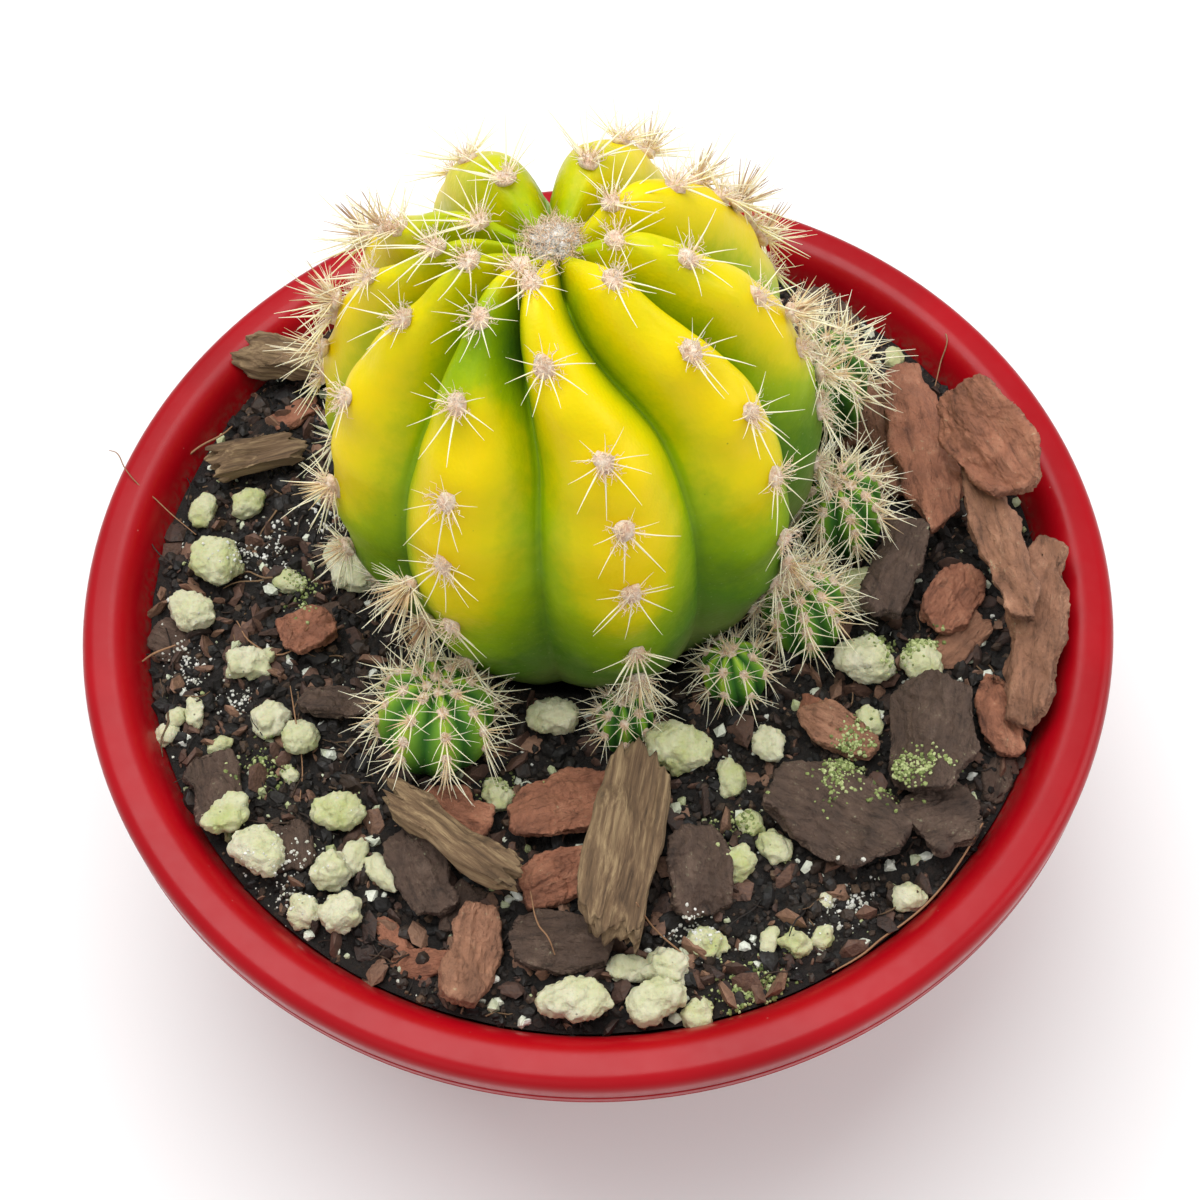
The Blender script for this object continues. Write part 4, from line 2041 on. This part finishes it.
# The same, with the turn in degrees before the slot.
BARK_FLECKS = (
    (-29.4, -62.6, 9.6, 4.9, 80.0, "bark_red"), (59.4, -12.3, 12.6, 6.8, 56.0, "bark_brown"),
    (45.1, 29.9, 9.0, 8.4, 30.0, "bark_brown"), (-49.4, -42.9, 8.4, 7.2, 20.0, "bark_dark"),
    (-70.8, -5.1, 7.6, 7.0, 80.0, "bark_dark"), (68.7, 30.7, 10.6, 4.8, 82.0, "bark_red"),
    (62.1, -36.7, 8.0, 4.6, 73.0, "bark_dark"),
    (-34.0, -58.0, 8.4, 3.6, 60.0, "bark_red"), (-23.5, -54.0, 9.0, 6.0, 100.0, "bark_dark"),
    (5.0, -50.0, 8.0, 6.2, 30.0, "bark_dark"), (30.0, -41.0, 7.0, 4.0, 120.0, "bark_dark"),
    (-46.0, -1.0, 8.0, 4.4, 60.0, "bark_dark"), (-15.0, 69.0, 11.0, 6.0, 10.0, "bark_brown"),
    (22.0, 60.0, 10.0, 6.4, 130.0, "bark_dark"), (-52.0, 40.0, 10.0, 5.0, 140.0, "bark_red"),
    (41.0, 58.0, 10.0, 6.0, 40.0, "bark_brown"), (-65.0, 5.0, 6.0, 3.4, 110.0, "bark_brown"),
    (40.0, -14.0, 8.0, 5.0, 20.0, "bark_dark"), (34.0, -24.0, 6.4, 4.2, 80.0, "bark_red"),
    (-27.0, -26.0, 7.0, 4.2, 20.0, "bark_dark"), (65.0, -24.0, 8.6, 5.2, 70.0, "bark_brown"),
)


@dataclass
class Flecks:
    """Small perlite grains and bark bits, each dropped on what lies under it."""

    bed: BVHTree
    rng: np.random.Generator
    highest: float = 0.0868

    def rest(self, x: float, y: float, reach: float) -> tuple[float, Vector]:
        """Find the height and slope of the ground under a piece."""
        heights, slope = [], Vector()
        for dx, dy in ((0.0, 0.0), (reach, 0.0), (-reach, 0.0), (0.0, reach), (0.0, -reach)):
            hit, way = drop(self.bed, x + dx, y + dy)
            if hit is not None:
                heights.append(hit.z)
                slope += way if way.z > 0.0 else -way
        return (sorted(heights)[len(heights) // 2] if heights else MIX_LEVEL), slope.normalized()

    def lump(self, fleck: Fleck, seed: float) -> bpy.types.Mesh:
        """Shape one piece where it lies."""
        bark = fleck.slot.startswith("bark")
        shape = bmesh.new()
        bmesh.ops.create_icosphere(shape, subdivisions=3, radius=0.5)
        thick = min(fleck.long, fleck.wide) * (0.36 if bark else 0.82)
        size = Vector((fleck.long, fleck.wide, thick)) * MM
        ground, slope = self.rest(fleck.x * MM, fleck.y * MM, min(size.x, size.y) * 0.3)
        tilt = Vector((0.0, 0.0, 1.0)).lerp(slope, 0.5).normalized()
        lie = tilt.to_track_quat("Z", "Y").to_matrix() @ Matrix.Rotation(math.radians(fleck.turn), 3, "Z")
        for vertex in shape.verts:
            p = vertex.co.copy()
            block = max(abs(p.x), abs(p.y), abs(p.z)) * 2.0
            squared = p.lerp(p / max(block, 0.2) * 0.8, 0.55 if bark else 0.18)
            bump = 1.0 + 0.42 * noise.noise(p * 3.1 + Vector((seed, 0.0, 0.0)))
            squared = Vector((squared.x * size.x, squared.y * size.y, squared.z * size.z)) * bump
            vertex.co = lie @ squared + Vector((fleck.x * MM, fleck.y * MM, ground + size.z * 0.30))
        return mesh_from("fleck", shape)

    def build(self, finishes: dict) -> list[bpy.types.Mesh]:
        """Build every small piece, one mesh for each material.

        Args:
            finishes: The materials by slot.

        Returns:
            The meshes.
        """
        flecks = [
            Fleck(x, y, a, b, self.rng.uniform(-30.0, 30.0), slot) for x, y, a, b, slot in PERLITE_FLECKS
        ]
        flecks += [Fleck(*row) for row in BARK_FLECKS]
        groups: dict[str, list] = {}
        for number, fleck in enumerate(flecks):
            if self.rest(fleck.x * MM, fleck.y * MM, fleck.wide * 0.3 * MM)[0] > self.highest:
                continue
            stuff = Stuff.BARK if fleck.slot.startswith("bark") else Stuff.PERLITE
            piece = LoosePiece(self.lump(fleck, 3.3 * number), stuff, 90.0 + 2.3 * number, 0.00040, 5)
            groups.setdefault(fleck.slot, []).append(piece.roughened())
        meshes = []
        for slot, parts in sorted(groups.items()):
            mesh = joined("small_" + slot, parts)
            set_out("small_" + slot, mesh, finishes[slot], slot)
            meshes.append(mesh)
        return meshes


class Litter(Enum):
    """Fine stuff on the mix: count to the square metre, least and most radius, flatness, level, slot."""

    CLODS = (110000.0, 0.0006, 0.0022, 0.7, 2, "potting_mix")
    CRUMBS = (480000.0, 0.00024, 0.0012, 0.75, 1, "potting_mix")
    BARK_DUST = (110000.0, 0.0004, 0.0031, 0.35, 1, "bark_dark")
    PERLITE_DUST = (70000.0, 0.00016, 0.0015, 0.8, 1, "perlite")


@dataclass
class GroundLitter:
    """Crumbs, bark dust, perlite dust, fibres and algae on the mix."""

    rng: np.random.Generator
    bed: BVHTree
    dust_ceiling: float = 0.0925
    fibre_count: int = 620
    fibre_start: float = 0.030
    fibre_width: float = 0.044
    fibre_ceiling: float = 0.0862
    fibre_lift: float = 0.0003

    def strew(self, ground: bpy.types.Mesh, finishes: dict) -> None:
        """Scatter the crumbs and dust.

        Args:
            ground: The open ground.
            finishes: The materials by name.
        """
        for seed, kind in enumerate(Litter):
            density, least, most, flat, level, slot = kind.value
            name = kind.name.lower()
            finish = finishes[name]
            mesh = CrumbTree(name + "_scatter", scattered=True, level=level).bench.grow(
                ground.copy(), name, seed=11 + 20 * seed, least_radius=least, most_radius=most,
                flatness=flat, raggedness=1.7, crumbs_to_the_square_metre=density, finish=finish
            )
            set_out("litter_" + name, mesh, finish, slot)

    def dust(self, finishes: dict) -> None:
        """Stand algae granules and perlite powder in patches on whatever lies there.

        Args:
            finishes: The materials by name.
        """
        algae = (
            (38.0, -34.0, 9.0, 3.0, 60.0, 420, 0.00034), (45.5, -38.0, 5.0, 3.4, 40.0, 260, 0.00032),
            (51.0, -15.0, 6.0, 2.4, 30.0, 260, 0.00034), (46.0, -12.0, 4.0, 4.0, 0.0, 160, 0.00036),
            (20.3, -68.6, 6.0, 4.0, 10.0, 420, 0.00034), (50.6, -37.4, 4.0, 3.0, 0.0, 160, 0.00030),
            (20.0, -43.4, 4.5, 3.5, 0.0, 140, 0.00030), (-54.9, -29.0, 5.0, 5.0, 0.0, 220, 0.00034),
            (-49.0, 3.0, 3.0, 6.0, 0.0, 140, 0.00030), (33.0, -9.0, 3.5, 3.5, 0.0, 90, 0.00034),
            (61.0, 50.0, 4.0, 4.0, 0.0, 120, 0.00032), (-15.0, -34.0, 4.0, 3.0, 0.0, 90, 0.00030),
        )
        powder = (
            (-57.0, 11.0, 7.0, 7.0, 0.0, 220, 0.00030), (-45.0, 18.0, 4.0, 4.0, 0.0, 120, 0.00030),
            (-68.0, -10.0, 4.0, 6.0, 0.0, 160, 0.00026), (-60.0, -16.0, 5.0, 4.0, 0.0, 120, 0.00026),
            (36.0, -57.0, 6.0, 4.0, 20.0, 160, 0.00032), (12.0, -60.0, 6.0, 3.0, 0.0, 100, 0.00028),
            (-50.0, -48.0, 7.0, 7.0, 0.0, 160, 0.00026), (5.0, 64.0, 8.0, 5.0, 0.0, 140, 0.00030),
        )
        for name, patches, slot in (
            ("algae_granules", algae, "perlite_green"), ("perlite_powder", powder, "perlite")
        ):
            bed = SpineBed()
            for x, y, wide, deep, turn, count, size in patches:
                c, s = math.cos(math.radians(turn)), math.sin(math.radians(turn))
                for _ in range(count):
                    a, b = self.rng.normal(0.0, 0.45, 2) * (wide, deep)
                    hit, _ = drop(self.bed, (x + a * c - b * s) * MM, (y + a * s + b * c) * MM)
                    if hit is not None and hit.z < self.dust_ceiling:
                        bed.plant(np.array(hit), UP, size * self.rng.uniform(0.5, 1.5), 0.0, 0.5)
            mesh = CrumbTree(name + "_stand", scattered=False).bench.grow(
                bed.mesh(name + "_spots"), name, seed=5, least_radius=0.0, most_radius=0.0, flatness=0.8,
                raggedness=1.0, finish=finishes[name]
            )
            set_out(name, mesh, finishes[name], slot)

    def fibres(self, finishes: dict) -> None:
        """Lay short dark fibres over the mix, clear of the pot's wall.

        Args:
            finishes: The materials by name.
        """
        bed = SpineBed()
        for _ in range(self.fibre_count):
            angle, share = self.rng.uniform(0.0, math.tau), math.sqrt(self.rng.uniform(0.0, 1.0))
            reach = self.fibre_start + self.fibre_width * share
            hit, _ = drop(self.bed, reach * math.cos(angle), reach * math.sin(angle))
            if hit is None or hit.z > self.fibre_ceiling:
                continue
            flat = self.rng.normal(0.0, 1.0, 3) * (1.0, 1.0, 0.25)
            length = float(self.rng.uniform(0.0025, 0.008))
            root = np.array(hit) + UP * self.fibre_lift
            bed.plant(root, flat, length, self.rng.uniform(0, 6.28), self.rng.uniform(0, 1))
        mesh = BristleTree("mix_fibres", 4, 6).bench.grow(
            bed.mesh("fibre_spots"), "mix_fibres", root_girth=0.030, tip_girth=0.014, sag=0.22, curl=0.05,
            finish=finishes["fibres"]
        )
        set_out("mix_fibres", mesh, finishes["fibres"], "potting_mix")


@dataclass
class Threads:
    """Fine dry roots and hairs that lie on the mix and over the rim."""

    no_bed: float = 0.084
    # Girth, whether z starts from what lies beneath, then the marks; millimetres.
    runs: tuple = (
        (
            0.16, 0.0, (-82.6, 29.4, 91.3), (-81.0, 28.4, 92.0), (-79.4, 25.6, 91.6), (-77.6, 23.0, 90.0),
            (-74.6, 21.0, 88.6), (-71.9, 18.2, 87.6), (-67.4, 14.4, 86.6)
        ),
        (0.20, 1.0, (-12.5, -54.1, 1.6), (-11.1, -59.1, 2.2), (-10.0, -61.5, 1.4), (-8.8, -63.5, 0.6)),
        (0.24, 1.0, (3.6, -58.7, 0.8), (7.2, -60.5, 2.0), (10.1, -62.6, 1.6), (12.2, -64.9, 0.5)),
        (
            0.28, 1.0, (32.9, -67.4, 0.4), (37.2, -65.2, 1.0), (40.6, -62.6, 1.4), (44.7, -60.4, 1.0),
            (49.0, -56.6, 1.4), (54.3, -51.1, 1.2), (58.1, -46.3, 0.4)
        ),
        (0.30, 1.0, (-71.7, 29.9, 0.8), (-68.3, 32.4, 2.4), (-64.6, 35.4, 2.2), (-63.0, 38.5, 0.8)),
        (0.18, 1.0, (-50.6, -14.9, 1.2), (-49.0, -22.2, 2.4), (-48.2, -29.4, 2.0), (-48.6, -34.6, 0.6)),
        (
            0.20, 0.0, (61.6, 45.6, 86.4), (63.4, 47.6, 88.4), (64.0, 45.8, 89.6), (63.0, 42.0, 87.0),
            (61.8, 38.0, 85.6)
        ),
        (0.34, 1.0, (-75.4, -8.6, 1.4), (-73.0, -8.0, 2.0), (-69.8, -7.0, 1.8)),
        (0.26, 1.0, (-20.0, 66.0, 0.8), (-10.0, 70.0, 1.8), (2.0, 68.0, 1.4), (10.0, 64.0, 0.5)),
        (0.22, 1.0, (-60.0, -2.0, 1.0), (-57.0, -7.0, 2.0), (-52.0, -9.0, 1.4), (-47.0, -6.0, 0.8))
    )

    def build(self, bed: BVHTree, finish: bpy.types.Material) -> bpy.types.Object:
        """Build every thread as a thin tube.

        Args:
            bed: What they lie on.
            finish: Their material.

        Returns:
            The threads.
        """
        curve = bpy.data.curves.new("fine_roots", "CURVE")
        curve.dimensions = "3D"
        curve.bevel_depth = 1.0
        curve.bevel_resolution = 1
        curve.resolution_u = 6
        curve.use_fill_caps = True
        for girth, resting, *marks in self.runs:
            spline = curve.splines.new("BEZIER")
            spline.bezier_points.add(len(marks) - 1)
            for i, (mark, knot) in enumerate(zip(marks, spline.bezier_points)):
                x, y, z = (value * MM for value in mark)
                if resting:
                    hit, _ = drop(bed, x, y)
                    z += hit.z if hit is not None else self.no_bed
                wobble = noise.noise_vector(Vector((i * 1.7, girth * 40.0, 0.0))) * 0.0006
                knot.co = Vector((x, y, z)) + wobble
                knot.radius = girth * MM * 0.65 * (0.7 if i in (0, len(marks) - 1) else 1.0)
                knot.handle_left_type = knot.handle_right_type = "AUTO"
        holder = linked("fine_roots_run", curve)
        mesh = settled_mesh(holder, "fine_roots")
        bpy.data.objects.remove(holder, do_unlink=True)
        mesh.shade_smooth()
        return set_out("fine_roots", mesh, finish, "wood_fibre")


@dataclass
class Studio:
    """Pale floor, soft lights and the camera."""

    distance: float = 0.33
    elevation: float = 60.0
    aim_height: float = 0.090
    roll: float = -2.86
    lens: float = 59.9
    shift: tuple = (0.00425, -0.0183)

    def floor(self) -> bpy.types.Object:
        """Lay the floor."""
        size = 2.4
        corners = np.array([(-1.0, -1.0, 0.0), (1.0, -1.0, 0.0), (1.0, 1.0, 0.0), (-1.0, 1.0, 0.0)])
        mesh = mesh_of("floor_sheet", corners * size, [(0, 1, 2, 3)])
        mesh.materials.append(PaleFloor().make())
        floor = linked("studio_floor", mesh)
        return floor

    def softbox(self, name: str, place: Vector, size: float, power: float) -> bpy.types.Object:
        """Hang a square soft light that faces the plant.

        Args:
            name: The light's name.
            place: Where it hangs.
            size: Its side.
            power: Its power in watts.

        Returns:
            The light.
        """
        data = bpy.data.lights.new(name, "AREA")
        data.size = size
        data.energy = power
        light = linked(name, data)
        facing = (place - Vector((0.0, 0.0, self.aim_height))).to_track_quat("Z", "Y")
        light.matrix_world = Matrix.Translation(place) @ facing.to_matrix().to_4x4()
        return light

    def camera(self) -> bpy.types.Object:
        """Set up the camera over the front of the pot."""
        data = bpy.data.cameras.new("studio_camera")
        data.lens = self.lens
        data.sensor_width = 36.0
        data.shift_x, data.shift_y = self.shift
        data.clip_start = 0.01
        tip = math.radians(self.elevation)
        aim = Vector((0.0, 0.0, self.aim_height))
        place = aim + Vector((0.0, -math.cos(tip), math.sin(tip))) * self.distance
        ahead = (aim - place).normalized()
        right = Vector((1.0, 0.0, 0.0))
        up = right.cross(ahead)
        turn = math.radians(self.roll)
        right, up = right * math.cos(turn) + up * math.sin(turn), up * math.cos(turn) - right * math.sin(
            turn
        )
        matrix = Matrix((right, up, -ahead)).transposed().to_4x4()
        matrix.translation = place
        camera = linked("studio_camera", data)
        camera.matrix_world = matrix
        bpy.context.scene.camera = camera
        return camera

    def build(self) -> None:
        """Set up the floor, the lights, the world and the camera."""
        self.floor()
        self.softbox("top_softbox", Vector((-0.10, 0.12, 0.80)), 0.60, 5.6)
        self.softbox("front_softbox", Vector((-0.35, -0.75, 0.62)), 0.55, 0.5)
        self.softbox("side_softbox", Vector((0.75, -0.05, 0.45)), 0.45, 1.8)
        world = bpy.data.worlds.new("studio_world")
        world.use_nodes = True
        sky = world.node_tree.nodes["Background"]
        sky.inputs[0].default_value = (1.0, 1.0, 1.0, 1.0)
        sky.inputs[1].default_value = 0.55
        bpy.context.scene.world = world
        bpy.context.scene.view_settings.view_transform = "Standard"
        self.camera()


GRITS = {
    "hair": ("wool_hair", ((0.0, (234, 192, 160)), (0.5, (248, 222, 194)), (1.0, (254, 246, 230))), 0.95),
    "clods": ("mix_clods", ((0.0, (12, 10, 9)), (0.7, (26, 21, 17)), (1.0, (58, 44, 34))), 0.8, 900.0),
    "crumbs": (
        "mix_crumbs", ((0.0, (14, 12, 10)), (0.6, (32, 25, 20)), (0.9, (66, 50, 38)), (1.0, (96, 76, 58))),
        0.9
    ),
    "bark_dust": ("bark_crumbs", ((0.0, (48, 36, 31)), (0.6, (92, 66, 54)), (1.0, (140, 106, 84)))),
    "perlite_dust": (
        "perlite_dust", ((0.0, (168, 176, 120)), (0.4, (206, 212, 186)), (1.0, (230, 232, 222)))
    ),
    "perlite_powder": ("perlite_powder", ((0.0, (186, 186, 170)), (1.0, (232, 232, 226)))),
    "algae_granules": (
        "algae_granules", ((0.0, (84, 98, 48)), (0.4, (132, 146, 82)), (1.0, (192, 200, 144)))
    ),
    "fibres": ("mix_fibre", ((0.0, (22, 17, 14)), (0.6, (62, 46, 34)), (1.0, (128, 100, 70)))),
    "root": ("dry_root", ((0.0, (150, 112, 80)), (1.0, (190, 152, 116))))
}


def make_finishes() -> dict[str, bpy.types.Material]:
    """Make every finish once, by the name that its pieces ask for."""
    return {
        "red_plastic": GlossPlastic().make(),
        "stem_skin": CactusSkin("yellow_stem_skin", PlantTone.STEM.value).make(),
        "offset_skin": CactusSkin("green_offset_skin", PlantTone.OFFSET.value, gloss=0.46).make(),
        "potting_mix": Soil().make(), "bark_red": Bark("flaky_red_bark", BarkTone.RED).make(),
        "bark_brown": Bark("flaky_brown_bark", BarkTone.BROWN).make(),
        "bark_dark": Bark("flaky_dark_bark", BarkTone.DARK, dusting=0.8).make(),
        "wood_fibre": WoodFibre().make(), "perlite": Perlite("white_perlite", least=0.10, most=0.6).make(),
        "perlite_green": Perlite("algae_perlite", least=0.35, most=1.0).make(), "spine": SpineHorn().make(),
        "felt": Felt(
            "areole_felt", ((0.26, (206, 152, 122)), (0.44, (238, 204, 176)), (0.62, (250, 234, 214)))
        ).make(),
        "crown_felt": Felt(
            "crown_felt", ((0.32, (84, 80, 78)), (0.46, (188, 184, 176)), (0.60, (242, 240, 234)))
        ).make(),
        **{key: TonedGrit(*row).make() for key, row in GRITS.items()}
    }


def main() -> None:
    """Build the plant, its pot and its dressing in order."""
    logging.basicConfig(level=logging.INFO, format="%(message)s", stream=sys.stdout, force=True)
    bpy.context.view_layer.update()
    rng = np.random.default_rng(SEED)
    finishes = make_finishes()
    Studio().build()
    pot = Pot()
    pot.build(finishes["red_plastic"])
    grooves = GrooveTree()
    stem = MainStem()
    stem.build(grooves, finishes["stem_skin"])
    offsets = Offsets()
    offsets.build(grooves, finishes["offset_skin"])
    mix = PottingMix()
    mix.build(pot, stem.globe, finishes["potting_mix"])
    cover = LooseCover().build(finishes)
    bed = tree_of([mix.body, *cover])
    small = Flecks(bed, rng).build(finishes)
    bed = tree_of([mix.body, *cover, *small])
    litter = GroundLitter(rng, bed)
    litter.strew(mix.ground(stem.globe, pot), finishes)
    litter.dust(finishes)
    litter.fibres(finishes)
    Threads().build(bed, finishes["root"])
    crown = Armament(rng)
    CrownWool().build(rng, stem.globe, finishes["crown_felt"], crown.wool, crown.slim)
    crown.build(stem.areoles(rng) + stem.tufts(), "stem", finishes, "wool", 44)
    Armament(rng).build(offsets.areoles(rng), "offset", finishes, "wool", 12)


if __name__ == "__main__":
    main()
